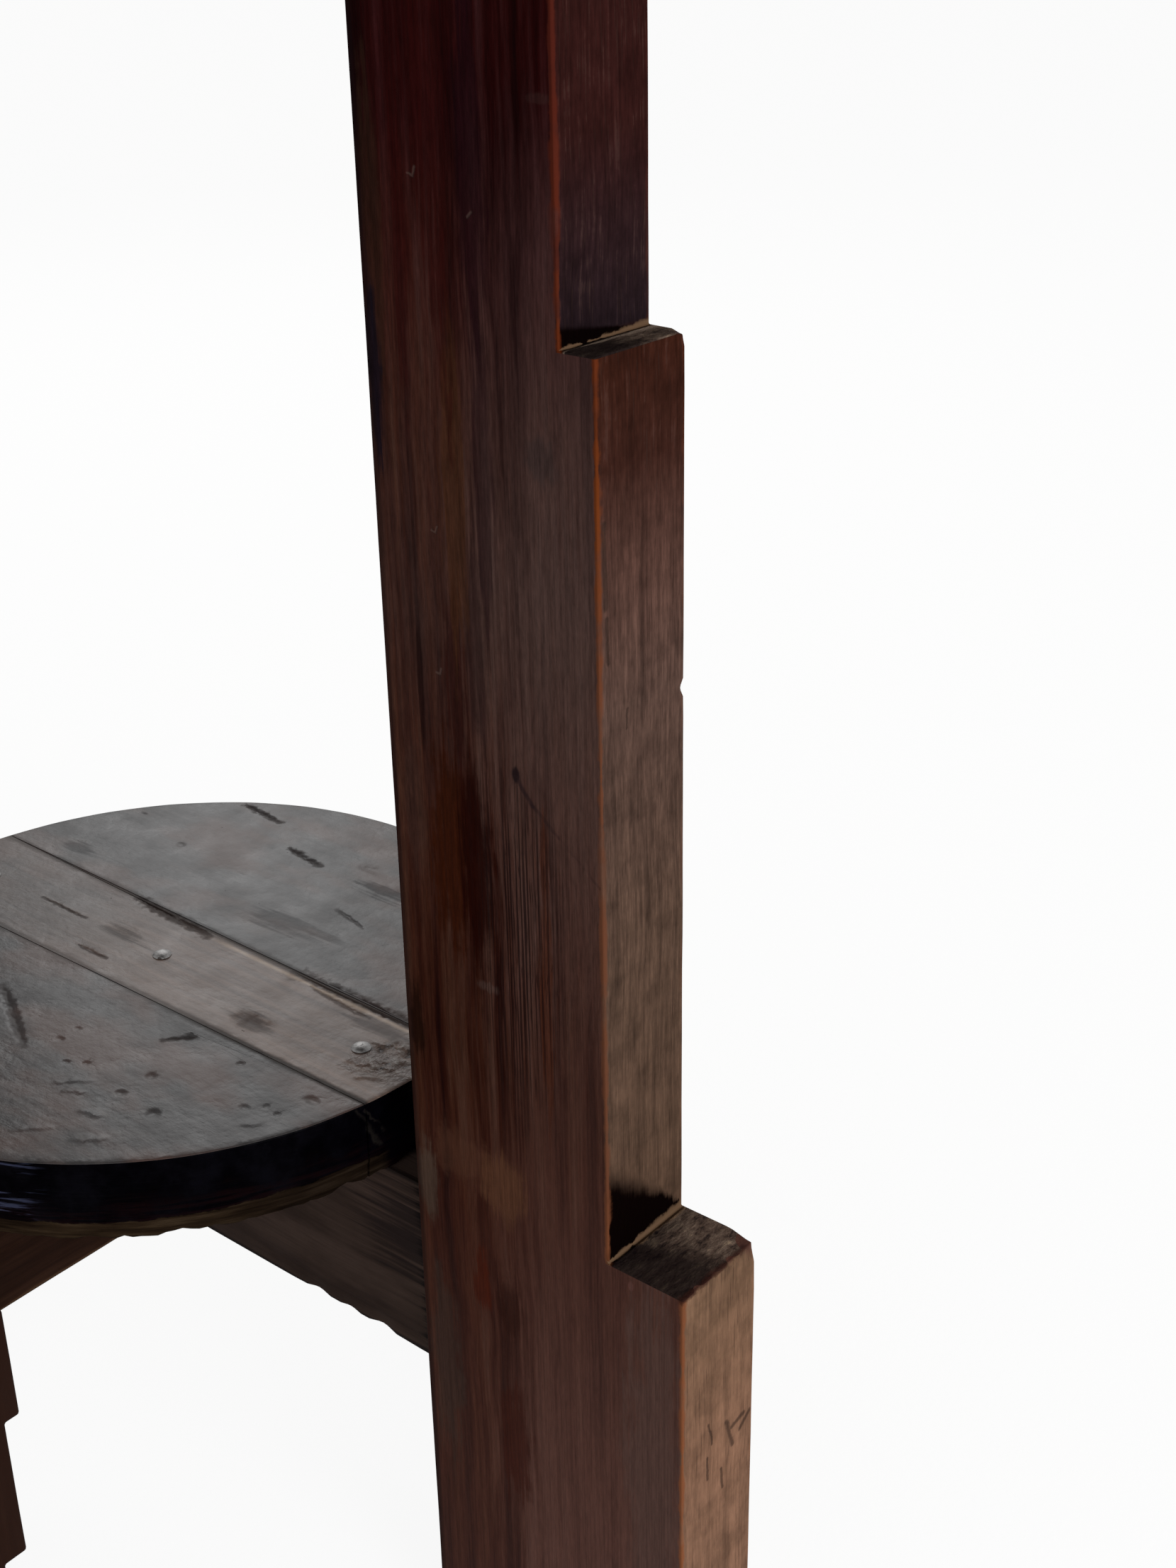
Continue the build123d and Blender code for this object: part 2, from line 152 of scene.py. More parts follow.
# The standards are two planks set on edge, sawn to two steps outside and planed straight
# inside, one solid board each. The wood is close and straight grained, stained wine red to
# black, and worn back to orange wood along the arrises.
leg_low, leg_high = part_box("leg_right")
leg_corners = [corner.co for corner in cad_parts["leg_right"].data.vertices]
leg_inner = leg_low.x
leg_half = leg_high.y
outer_foot = leg_high.x
low_ledge = max(corner.z for corner in leg_corners if corner.x > outer_foot - 0.001)
outer_middle = max(corner.x for corner in leg_corners if corner.z > low_ledge + 0.001)
high_ledge = max(corner.z for corner in leg_corners if corner.x > outer_middle - 0.001
                 and corner.z > low_ledge + 0.001)
outer_top = max(corner.x for corner in leg_corners if corner.z > high_ledge + 0.001)


def cad_shape(node):
    """A copy of a CAD node to work on, its corners welded and its flat faces made whole."""
    weld = 2e-6
    flat = math.radians(0.4)
    work = bmesh.new()
    work.from_mesh(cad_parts[node].data)
    bmesh.ops.remove_doubles(work, verts=work.verts, dist=weld)
    bmesh.ops.dissolve_limit(work, angle_limit=flat, verts=work.verts, edges=work.edges)
    return work


def finished_mesh(work, name):
    """The mesh of a shape that has been worked on."""
    mesh = bpy.data.meshes.new(name)
    work.to_mesh(mesh)
    work.free()
    return mesh


def smoothed(mesh, crease):
    """Shades a mesh smoothly, apart from edges that turn more than a crease in degrees."""
    mesh.polygons.foreach_set("use_smooth", [True] * len(mesh.polygons))
    mesh.set_sharp_from_angle(angle=math.radians(crease))


def planed_mesh(node, arris, spacing, wave, nicks=()):
    """A copy of a CAD node with rounded arrises, hand planed faces and the nicks of use."""
    work = cad_shape(node)
    sharp_turn = math.radians(35)
    sharp = [edge for edge in work.edges if edge.is_manifold and edge.calc_face_angle() > sharp_turn]
    bmesh.ops.bevel(work, geom=sharp, offset=arris, segments=3, profile=0.5, affect="EDGES",
                    clamp_overlap=True)
    low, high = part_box(node)
    nick_cuts = (-0.8, -0.5, -0.25, 0, 0.25, 0.5, 0.8)
    cuts = []
    for axis in range(3):
        normal = Vector((0, 0, 0))
        normal[axis] = 1
        count = int((high[axis] - low[axis]) / spacing)
        for step in range(1, count + 1):
            cuts.append((low[axis] + (high[axis] - low[axis]) * step / (count + 1), axis, normal))
        for place, reach, push in nicks:
            for share in nick_cuts:
                cuts.append((place[axis] + reach * share, axis, normal))
    for level, axis, normal in cuts:
        if not low[axis] < level < high[axis]:
            continue
        bmesh.ops.bisect_plane(work, geom=work.verts[:] + work.edges[:] + work.faces[:],
                               dist=1e-6, plane_co=normal * level, plane_no=normal)
    work.normal_update()
    for vert in work.verts:
        sway = noise.noise(vert.co * 38 + Vector((3, 7, 1))) + 0.5 * noise.noise(vert.co * 120)
        vert.co -= vert.normal * wave * (1 + sway)
        for place, reach, push in nicks:
            near = 1 - (vert.co - Vector(place)).length / reach
            if near > 0:
                vert.co += Vector(push) * near * near * (3 - 2 * near)
    return finished_mesh(work, node + "_planed")


def fitted_piece(name, mesh, material, body, nodes):
    """Turns a mesh into a piece with even shading that stands for the CAD nodes."""
    piece = bpy.data.objects.new(name, mesh)
    bpy.context.collection.objects.link(piece)
    smoothed(mesh, crease=50)
    shading = piece.modifiers.new("even_shading", "WEIGHTED_NORMAL")
    shading.keep_sharp = True
    bpy.context.view_layer.update()
    shaded = bpy.data.meshes.new_from_object(piece.evaluated_get(
        bpy.context.evaluated_depsgraph_get()))
    piece.modifiers.remove(shading)
    piece.data = shaded
    shaded.name = name
    if material:
        shaded.materials.clear()
        shaded.materials.append(material)
    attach(piece, body)
    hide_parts(*nodes)
    return piece


class Signal:
    """A number, colour or place on its way through a material, so that sums read as sums."""

    def __init__(self, socket):
        self.socket = socket

    def __add__(self, other):
        return calc("ADD", self, other)

    def __sub__(self, other):
        return calc("SUBTRACT", self, other)

    def __rsub__(self, other):
        return calc("SUBTRACT", other, self)

    def __mul__(self, other):
        return Product(self, other)

    def __truediv__(self, other):
        return calc("DIVIDE", self, other)

    def __lt__(self, other):
        return calc("LESS_THAN", self, other)

    def __gt__(self, other):
        return calc("GREATER_THAN", self, other)

    def __abs__(self):
        return calc("ABSOLUTE", self)


class Product(Signal):
    """A product that waits for what is added to it, so that both fit in one node."""

    def __init__(self, first, second):
        self.factors = (first, second)
        self.made = None

    def __add__(self, other):
        return calc("MULTIPLY_ADD", *self.factors, other)

    @property
    def socket(self):
        """The product by itself, made when it is first asked for."""
        if self.made is None:
            self.made = calc("MULTIPLY", *self.factors).socket
        return self.made


def feed(socket, value):
    """Links a socket to a signal, or sets the socket's own value."""
    if isinstance(value, Signal):
        socket.id_data.links.new(value.socket, socket)
    elif socket.type == "RGBA" and len(value) == 3:
        socket.default_value = (*value, 1)
    else:
        socket.default_value = value


def node_beside(values, kind):
    """A new node in the material or group that the first signal among the values belongs to."""
    tree = next(value.socket.id_data for value in values if isinstance(value, Signal))
    return tree.nodes.new(kind)


def calc(operation, *values):
    """A sum, product or other plain calculation with numbers."""
    node = node_beside(values, "ShaderNodeMath")
    node.operation = operation
    for socket, value in zip(node.inputs, values):
        feed(socket, value)
    return Signal(node.outputs[0])


def clamped(signal):
    """Keeps the result of a calculation between 0 and 1."""
    signal.socket.node.use_clamp = True
    return signal


def aim(operation, first, second=None):
    """A calculation with places and directions."""
    node = node_beside((first, second), "ShaderNodeVectorMath")
    node.operation = operation
    feed(node.inputs[0], first)
    if second is not None:
        feed(node.inputs["Scale" if operation == "SCALE" else 1], second)
    plain_number = operation in ("LENGTH", "DOT_PRODUCT")
    return Signal(node.outputs["Value" if plain_number else "Vector"])


def split(place):
    """The x, y and z of a place."""
    node = node_beside([place], "ShaderNodeSeparateXYZ")
    feed(node.inputs[0], place)
    return [Signal(output) for output in node.outputs]


def joined(*values):
    """A place made of its x, y and z."""
    node = node_beside(values, "ShaderNodeCombineXYZ")
    for socket, value in zip(node.inputs, values):
        feed(socket, value)
    return Signal(node.outputs[0])


def swung(place, angles):
    """A place turned about the origin."""
    node = node_beside([place], "ShaderNodeMapping")
    node.inputs["Rotation"].default_value = angles
    feed(node.inputs["Vector"], place)
    return Signal(node.outputs[0])


def eased(value, start, end):
    """0 at start, 1 at end, smooth between; start may be the higher one."""
    node = node_beside((value, start, end), "ShaderNodeMapRange")
    node.interpolation_type = "SMOOTHSTEP"
    feed(node.inputs["Value"], value)
    feed(node.inputs["From Min"], start)
    feed(node.inputs["From Max"], end)
    return Signal(node.outputs["Result"])


def mixed(share, first, second, blend="MIX"):
    """The first colour, and the second in its place by a share."""
    node = node_beside((share, first, second), "ShaderNodeMix")
    node.data_type = "RGBA"
    node.blend_type = blend
    feed(node.inputs[0], share)
    feed(node.inputs[6], first)
    feed(node.inputs[7], second)
    return Signal(node.outputs[2])


def tinted(colour, tint, share=1.0):
    """A colour multiplied by a tint, by a share."""
    return mixed(share, colour, tint, "MULTIPLY")


def graded(value, stops):
    """A run of greys or colours that a value picks from."""
    node = node_beside([value], "ShaderNodeValToRGB")
    ramp = node.color_ramp.elements
    while len(ramp) < len(stops):
        ramp.new(1.0)
    for stop, (place, colour) in zip(ramp, stops):
        stop.position = place
        stop.color = (*colour, 1) if isinstance(colour, tuple) else (colour, colour, colour, 1)
    feed(node.inputs["Fac"], value)
    return Signal(node.outputs["Color"])


def clouds(vector, scale, detail=4.0, rough=0.55):
    """Soft cloudy noise about 0.5."""
    node = node_beside([vector], "ShaderNodeTexNoise")
    feed(node.inputs["Vector"], vector)
    node.inputs["Scale"].default_value = scale
    node.inputs["Detail"].default_value = detail
    node.inputs["Roughness"].default_value = rough
    return Signal(node.outputs["Fac"])


def effect(name, inputs, outputs):
    """A named shader group: the group, the signals that come in and the sockets that go out."""
    tree = bpy.data.node_groups.new(name, "ShaderNodeTree")
    for socket_name, kind in inputs:
        tree.interface.new_socket(socket_name, in_out="INPUT", socket_type="NodeSocket" + kind)
    for socket_name in outputs:
        tree.interface.new_socket(socket_name, in_out="OUTPUT", socket_type="NodeSocketFloat")
    coming_in = {socket.name: Signal(socket) for socket in tree.nodes.new("NodeGroupInput").outputs}
    return tree, coming_in, tree.nodes.new("NodeGroupOutput").inputs


def use(group, **values):
    """The results of a shader group, by name."""
    node = node_beside(values.values(), "ShaderNodeGroup")
    node.node_tree = group
    for socket_name, value in values.items():
        feed(node.inputs[socket_name], value)
    return {output.name: Signal(output) for output in node.outputs}


def new_finish(name):
    """An empty material, and the place on its piece that is being coloured."""
    material = bpy.data.materials.new(name)
    material.use_nodes = True
    return material, Signal(material.node_tree.nodes.new("ShaderNodeTexCoord").outputs["Object"])


def finish_with(material, colour, gloss, relief, depth, specular, polish=None):
    """Feeds a material's colour, roughness, relief times depth and clear coat to its shader."""
    nodes = material.node_tree.nodes
    shader = nodes["Principled BSDF"]
    feed(shader.inputs["Base Color"], colour)
    feed(shader.inputs["Roughness"], gloss)
    shader.inputs["Specular IOR Level"].default_value = specular
    if polish is not None:
        shader.inputs["Coat Roughness"].default_value = 0.35
        feed(shader.inputs["Coat Weight"], polish)
    bump = nodes.new("ShaderNodeBump")
    bump.inputs["Distance"].default_value = depth
    feed(bump.inputs["Height"], relief)
    feed(shader.inputs["Normal"], Signal(bump.outputs["Normal"]))


# Straight grain: fine and broad streaks that run along Z, and short open pores.
straight_grain, grain_in, grain_out = effect(
    "straight_grain", (("Vector", "Vector"), ("Across", "Float"), ("Along", "Float")),
    ("Fine", "Broad", "Pores"))
grain_scale = joined(grain_in["Across"], grain_in["Across"], grain_in["Along"])
grain_sway = aim("SCALE", (0.005, 0.005, 0.0), clouds(grain_in["Vector"], 16, 1.0, 0.5) - 0.5)
grain_place = aim("MULTIPLY", aim("ADD", grain_in["Vector"], grain_sway), grain_scale)
feed(grain_out["Fine"], clouds(grain_place, 1.0, 4.0, 0.65))
feed(grain_out["Broad"], clouds(grain_place, 0.16, 2.0, 0.5))
feed(grain_out["Pores"], eased(clouds(grain_place, 2.6, 1.0, 0.5), 0.6, 0.72))

# Worn arris: where the stain is rubbed off along an edge, in a line that comes and goes.
worn_arris, wear_in, wear_out = effect(
    "worn_arris", (("Breaks", "Float"), ("Distance", "Float"), ("Width", "Float")), ("Wear",))
wear_width = wear_in["Width"] * calc("MAXIMUM", wear_in["Breaks"] * 3.4 + -0.8, 0.01)
feed(wear_out["Wear"], eased(wear_in["Distance"], wear_width, wear_width * 0.35))

# Stain patch: a soft, ragged area round a centre, with its own reach each way.
stain_patch, patch_in, patch_out = effect(
    "stain_patch", (("Vector", "Vector"), ("Centre", "Vector"), ("Reach", "Vector"),
                    ("Ragged", "Float")), ("Patch",))
patch_away = aim(
    "LENGTH", aim("DIVIDE", aim("SUBTRACT", patch_in["Vector"], patch_in["Centre"]), patch_in["Reach"]))
feed(patch_out["Patch"], eased(patch_away + patch_in["Ragged"], 1.0, 0.25))

# Scored line: a scratch, crack or rubbed line from one point to another.
scored_line, line_in, line_out = effect(
    "scored_line", (("Vector", "Vector"), ("Start", "Vector"), ("End", "Vector"),
                    ("Width", "Float")), ("Line",))
line_from = aim("SUBTRACT", line_in["Vector"], line_in["Start"])
line_run = aim("SUBTRACT", line_in["End"], line_in["Start"])
line_share = aim("DOT_PRODUCT", line_from, line_run) / aim("DOT_PRODUCT", line_run, line_run)
line_share = clamped(line_share)
line_away = aim("LENGTH", aim("SUBTRACT", line_from, aim("SCALE", line_run, line_share)))
feed(line_out["Line"], eased(line_away, line_in["Width"], line_in["Width"] * 0.2))

# The colours of the standards are read off the near one: wine red and black high up, brown
# lower down under a mauve painted sheen, taupe and tan on the narrow faces, and black in the
# corners of the steps.
standard_finish, place = new_finish("stained_standard")
place_x, place_y, height = split(place)
out_x = abs(place_x)
side_y = abs(place_y)
height_share = height / leg_high.z
mirrored = joined(out_x, place_y, height)
under_high = height < high_ledge - 0.0006
under_low = height < low_ledge - 0.0006
outer_x = under_high * (outer_middle - outer_top) + outer_top
outer_x = under_low * (outer_foot - outer_middle) + outer_x
from_outer = outer_x - out_x
from_side = leg_half - side_y
from_inner = out_x - leg_inner
on_ledge = eased(from_outer, -0.0006, -0.0016)
on_narrow = eased(from_outer, 0.0011, 0.0004)
across = from_inner / (outer_middle - leg_inner)
outer_arris = calc("MAXIMUM", from_outer, from_side)
inner_arris = calc("MAXIMUM", from_inner, from_side)

# Grain, and the clouds and streaks that break up every mark.
grain = use(straight_grain, Vector=place, Across=760.0, Along=20.0)
soft_grain = use(straight_grain, Vector=place, Across=190.0, Along=7.0)
mottle = clouds(place, 95, 4.0, 0.62)
ragged = mottle - 0.5
streaked = soft_grain["Fine"] - 0.5
hairs = grain["Fine"] - 0.5

# Wide faces: a deep stain under a paler painted sheen, which is stronger low down and away from the
# shelf.
deep = graded(soft_grain["Fine"], [
    (0.32, (0.012, 0.0028, 0.0022)), (0.45, (0.028, 0.0066, 0.0036)), (0.56, (0.044, 0.0128, 0.0066)),
    (0.68, (0.058, 0.0225, 0.0125))])
deep = tinted(deep, graded(height_share, [
    (0.0, (1.2, 1.3, 1.3)), (0.25, (1.05, 1.05, 1.05)), (0.33, (0.84, 0.9, 0.95)),
    (0.45, (0.95, 0.95, 0.95)), (0.58, (1.0, 1.0, 1.0)), (0.64, (0.8, 0.6, 0.72)),
    (0.7, (0.5, 0.22, 0.42)), (1.0, (0.44, 0.18, 0.36))]))
painted_sheen_left = graded(height_share, [
    (0.0, 0.36), (0.17, 0.26), (0.27, 0.12), (0.33, 0.0), (0.43, 0.1), (0.52, 0.3), (0.6, 0.16),
    (0.66, 0.04), (0.72, 0.0)])
painted_sheen_right = graded(height_share, [
    (0.0, 0.9), (0.17, 0.78), (0.27, 0.52), (0.34, 0.4), (0.42, 0.66), (0.54, 0.86), (0.66, 0.38),
    (0.72, 0.0)])
to_right = eased(streaked * 0.9 + across, 0.3, 0.72)
painted_sheen_share = mixed(to_right, painted_sheen_left, painted_sheen_right)
combed = use(stain_patch, Vector=mirrored, Centre=(0.1815, -leg_half, 0.275),
             Reach=(0.022, 0.01, 0.078), Ragged=ragged * 0.7)["Patch"]
hair_depth = graded(height_share, [(0.0, 0.34), (0.22, 0.4), (0.3, 0.62), (0.56, 0.66), (0.66, 0.3)])
painted_sheen_share = hairs * (combed * 1.1 + hair_depth) + painted_sheen_share
painted_sheen_share = streaked * (to_right * 0.55 + 0.2) + painted_sheen_share
painted_sheen_share = clamped(painted_sheen_share)
# The paler colour is the painted sheen, lightest at the foot.
wide = mixed(painted_sheen_share, deep, graded(height_share, [
    (0.0, (0.106, 0.048, 0.0375)), (0.3, (0.076, 0.034, 0.0255)), (0.42, (0.071, 0.036, 0.029)),
    (0.52, (0.07, 0.04, 0.0335)), (0.6, (0.068, 0.039, 0.0345)), (0.66, (0.056, 0.03, 0.031))]))

# Patches on them: place, reach, how ragged, how streaky, colour and strength.
wide_patches = (
    ((0.1575, 0.2960), (0.0108, 0.0450), 0.9, 1.0, (0.0300, 0.0064, 0.0020), 0.94),
    ((0.1665, 0.2940), (0.0085, 0.0470), 0.4, 0.5, (0.0130, 0.0018, 0.0008), 0.97),
    ((0.1440, 0.3050), (0.0060, 0.0300), 1.0, 1.0, (0.0420, 0.0200, 0.0150), 0.55),
    ((0.1400, 0.2360), (0.0055, 0.0200), 1.0, 1.0, (0.0100, 0.0036, 0.0020), 0.85),
    ((0.1560, 0.1950), (0.0200, 0.0130), 1.4, 1.0, (0.0820, 0.0350, 0.0205), 0.42),
    ((0.1720, 0.1900), (0.0120, 0.0160), 0.8, 0.5, (0.0920, 0.0390, 0.0205), 0.72),
    ((0.1405, 0.1800), (0.0060, 0.0230), 1.0, 0.4, (0.0640, 0.0400, 0.0290), 0.85),
    ((0.1614, 0.1518), (0.0050, 0.0170), 0.9, 1.0, (0.0560, 0.0110, 0.0050), 0.90),
    ((0.1725, 0.1453), (0.0060, 0.0160), 1.0, 1.5, (0.0260, 0.0080, 0.0050), 0.75),
    ((0.1735, 0.0930), (0.0080, 0.0300), 1.2, 1.5, (0.0420, 0.0110, 0.0068), 0.85),
    ((0.1440, 0.1100), (0.0085, 0.0500), 1.0, 1.0, (0.0420, 0.0265, 0.0205), 0.60),
    ((0.1490, 0.3450), (0.0018, 0.0260), 0.5, 0.6, (0.0100, 0.0030, 0.0026), 0.80),
    ((0.1620, 0.3500), (0.0050, 0.0300), 0.8, 2.4, (0.0220, 0.0050, 0.0036), 0.70),
    ((0.1745, 0.4080), (0.0050, 0.0600), 0.5, 1.8, (0.0170, 0.0072, 0.0085), 0.55),
    ((0.1700, 0.3600), (0.0050, 0.0450), 0.6, 2.2, (0.0200, 0.0095, 0.0092), 0.60),
    ((0.1930, 0.4130), (0.0070, 0.0090), 1.2, 0.5, (0.0340, 0.0230, 0.0220), 0.55),
    ((0.1640, 0.4000), (0.0060, 0.0500), 0.6, 2.2, (0.0660, 0.0250, 0.0100), 0.45),
    ((0.1600, 0.4900), (0.0070, 0.0900), 0.6, 2.2, (0.0270, 0.0034, 0.0030), 0.52),
    ((0.1500, 0.4650), (0.0050, 0.0500), 0.6, 2.2, (0.0300, 0.0036, 0.0032), 0.42),
    ((0.1740, 0.4800), (0.0060, 0.0700), 0.5, 2.2, (0.0110, 0.0026, 0.0044), 0.65),
    ((0.1410, 0.4600), (0.0050, 0.0500), 0.8, 1.6, (0.0300, 0.0140, 0.0085), 0.45),
    ((0.1385, 0.4280), (0.0036, 0.0340), 0.8, 0.8, (0.0046, 0.0040, 0.0085), 0.85),
    ((0.1820, 0.3267), (0.0020, 0.0034), 0.4, 0.2, (0.0130, 0.0062, 0.0070), 1.0),
    ((0.1694, 0.2575), (0.0055, 0.0026), 0.9, 0.3, (0.0800, 0.0500, 0.0420), 0.45),
    ((0.2191, 0.1778), (0.0016, 0.0022), 0.6, 0.2, (0.1000, 0.0420, 0.0340), 0.80),
    ((0.2270, 0.1000), (0.0150, 0.1300), 0.6, 0.8, (0.0800, 0.0455, 0.0375), 0.65),
    ((0.1905, 0.2650), (0.0030, 0.0600), 0.6, 2.0, (0.0620, 0.0165, 0.0070), 0.55),
    ((0.1950, 0.4970), (0.0055, 0.0016), 0.8, 0.3, (0.0500, 0.0260, 0.0230), 0.22),
)
for (patch_x, patch_z), (reach_x, reach_z), rough, streaky, patch_colour, strength in wide_patches:
    patch_edge = streaked * streaky + ragged * rough
    patch_edge = hairs * 1.1 + patch_edge
    patch = use(stain_patch, Vector=mirrored, Centre=(patch_x, -leg_half, patch_z),
                Reach=(reach_x, 0.01, reach_z), Ragged=patch_edge)["Patch"]
    patch = eased(patch, 0.04, 0.85)
    wide = mixed(patch * strength, wide, patch_colour)

# Fine combed lines, and a dark rim along the inner arris.
comb_teeth = clouds(aim("MULTIPLY", place, (1500.0, 1500.0, 11.0)), 1.0, 2.0, 0.5)
combed_lines = calc("MAXIMUM", eased(comb_teeth, 0.52, 0.42), grain["Pores"])
wide = mixed(combed_lines * (combed * 0.66 + 0.2), wide, (0.01, 0.0034, 0.003))
dark_rim = eased(inner_arris, 0.003, 0.0012)
wide = mixed(dark_rim * 0.6, wide, (0.006, 0.0036, 0.004))

# Narrow faces: tan at the foot, taupe in the middle, wine red at the top.
narrow = graded(height_share, [
    (0.0, (0.15, 0.082, 0.053)), (0.17, (0.16, 0.085, 0.053)),
    (low_ledge / leg_high.z, (0.128, 0.073, 0.044)),
    (low_ledge / leg_high.z + 0.002, (0.073, 0.042, 0.027)), (0.4, (0.066, 0.039, 0.027)),
    (0.5, (0.07, 0.04, 0.031)), (0.555, (0.06, 0.029, 0.022)), (0.59, (0.03, 0.0105, 0.0072)),
    (high_ledge / leg_high.z, (0.027, 0.0078, 0.0044)),
    (high_ledge / leg_high.z + 0.002, (0.012, 0.007, 0.0088)), (0.67, (0.017, 0.007, 0.0075)),
    (0.7, (0.0215, 0.006, 0.0052)), (1.0, (0.02, 0.0046, 0.0036))])
line_depth = graded(height_share, [(0.0, 0.25), (0.25, 0.3), (0.265, 0.75), (0.55, 0.8), (0.6, 0.55)])
narrow = tinted(narrow, graded(grain["Fine"], [(0.32, 0.58), (0.5, 1.0), (0.7, 1.36)]), line_depth)
narrow = tinted(narrow, graded(soft_grain["Fine"], [(0.32, 0.7), (0.5, 1.0), (0.7, 1.28)]), 0.75)
narrow = mixed(grain["Pores"] * 0.4, narrow, (0.026, 0.014, 0.011))
narrow = tinted(narrow, graded(mottle, [(0.36, 0.72), (0.5, 1.0), (0.64, 1.18)]), 0.75)
scuffs = eased(ragged * 0.8 + grain["Fine"], 0.58, 0.7) * eased(height_share, 0.57, 0.6)
narrow = mixed(scuffs * 0.2, narrow, (0.072, 0.04, 0.033))

# Cracks in them: start, end, width and face.
narrow_cracks = (
    ((-0.0148, 0.4000), (-0.0145, 0.3790), 0.0014, outer_middle),
    ((-0.0141, 0.3760), (-0.0138, 0.3640), 0.0010, outer_middle),
    ((-0.0066, 0.3490), (-0.0068, 0.3440), 0.0006, outer_middle),
    ((0.0042, 0.1235), (0.0078, 0.1125), 0.0013, outer_foot),
    ((0.0070, 0.1195), (0.0130, 0.1205), 0.0013, outer_foot),
    ((-0.0046, 0.1285), (-0.0030, 0.1200), 0.0007, outer_foot),
    ((-0.0052, 0.1160), (-0.0046, 0.1080), 0.0008, outer_foot),
    ((0.0020, 0.1070), (0.0028, 0.0990), 0.0009, outer_foot),
    ((0.0115, 0.1160), (0.0160, 0.1195), 0.0013, outer_foot),
)
cracks = 0.0
crack_place = aim("ADD", mirrored, aim("SCALE", (0.0, 0.003, 0.003), ragged))
for (start_y, start_z), (end_y, end_z), width, face_x in narrow_cracks:
    crack = use(scored_line, Vector=crack_place, Start=(face_x, start_y, start_z),
                End=(face_x, end_y, end_z), Width=width)["Line"]
    cracks = calc("MAXIMUM", crack, cracks)
narrow = mixed(cracks * 0.68, narrow, (0.022, 0.013, 0.01))

# Black that stands above each ledge, higher towards the near side.
corner_black = 0.0
for ledge, stain_high, slope in ((low_ledge, 0.0195, 0.98), (high_ledge, 0.0030, 0.20)):
    above = height - ledge
    stain_top = place_y * -slope + stain_high
    stain_top = hairs * (stain_high * 0.45) + stain_top
    stain_top = ragged * (stain_high * 0.6) + stain_top
    stain_top = calc("MAXIMUM", stain_top, 0.0006)
    stained = eased(above, stain_top, stain_top * 0.64) * (above > -0.0005)
    corner_black = calc("MAXIMUM", stained, corner_black)
corner_black = corner_black * on_narrow
narrow = mixed(corner_black, narrow, (0.0018, 0.0006, 0.0005))

# Sawn end grain on the ledges: dirty at the near side, with a bare wedge on the upper one.
end_rough = clouds(aim("MULTIPLY", place, (1.6, 0.7, 1.0)), 260, 5.0, 0.7)
sawn_end = graded(end_rough, [
    (0.34, (0.016, 0.011, 0.01)), (0.48, (0.072, 0.048, 0.036)), (0.6, (0.112, 0.08, 0.06)),
    (0.7, (0.21, 0.15, 0.1))])
low_down = height < low_ledge + 0.05
past_corner = eased(ragged * 0.012 + (out_x - outer_middle), 0.002, 0.009)
sawn_end = tinted(sawn_end, (1.25, 1.22, 1.22), past_corner * low_down)
end_dirt = eased(ragged * 0.03 + place_y, 0.01, -0.006)
sawn_end = mixed(end_dirt * 0.86, sawn_end, (0.007, 0.0042, 0.0048))
wedge_width = place_y * 0.1 + 0.0034
wedge = eased(ragged * 0.004 + (out_x - outer_top), wedge_width, wedge_width * 0.6)
wedge = wedge * (height > low_ledge + 0.05)
sawn_end = mixed(wedge * 0.8, sawn_end, (0.23, 0.17, 0.13))

# All faces together, with fine specks of stain.
colour = mixed(on_narrow, wide, narrow)
specks = clouds(aim("MULTIPLY", place, (1.0, 1.0, 0.16)), 1000, 3.0, 0.7)
speck_share = eased(height_share, 0.44, 0.28) * -0.35 + 0.85
colour = tinted(colour, graded(specks, [(0.28, 0.66), (0.5, 1.0), (0.72, 1.34)]), speck_share)
colour = mixed(on_ledge, colour, sawn_end)

# Arrises rubbed back to orange wood, in lines that come and go.
rub_breaks = streaked * 0.9 + mottle
bare_orange = use(worn_arris, Breaks=rub_breaks, Distance=outer_arris, Width=0.0016)["Wear"]
near_arris = eased(place_y, 0.004, -0.004)
bare_orange = bare_orange * (near_arris * 0.75 + 0.25)
bare_orange = bare_orange * (1.0 - on_ledge)
rub_gaps = eased(clouds(place, 70, 2.0, 0.6), 0.36, 0.52)
bare_orange = bare_orange * (rub_gaps * 0.55 + 0.45)
bare_colour = graded(height_share, [
    (0.0, (0.19, 0.066, 0.026)), (0.25, (0.15, 0.05, 0.021)), (0.3, (0.1, 0.036, 0.018)),
    (0.5, (0.105, 0.036, 0.017)), (0.575, (0.12, 0.028, 0.0055)), (0.66, (0.08, 0.0145, 0.006)),
    (0.72, (0.06, 0.0105, 0.006)), (1.0, (0.04, 0.007, 0.005))])
colour = mixed(bare_orange * 0.9, colour, bare_colour)

# Pale lines in the inner corners of the steps, and chips along the lower ledge.
corner_pale = 0.0
pale_breaks = place_y * 11.0 + ((end_rough - 0.5) * 0.9 + mottle)
for ledge, inner_x, width in ((low_ledge, outer_middle, 0.0021), (high_ledge, outer_top, 0.0010)):
    corner_away = calc("MAXIMUM", abs(out_x - inner_x), abs(height - ledge))
    corner_line = use(worn_arris, Breaks=pale_breaks, Distance=corner_away, Width=width)["Wear"]
    corner_pale = calc("MAXIMUM", corner_line, corner_pale)
colour = mixed(corner_pale * 0.85, colour, (0.135, 0.08, 0.046))
ledge_arris = calc("MAXIMUM", abs(out_x - outer_foot), abs(height - low_ledge))
chipped = use(worn_arris, Breaks=end_rough, Distance=ledge_arris, Width=0.0024)["Wear"]
colour = mixed(chipped * 0.8, colour, (0.026, 0.0085, 0.0062))

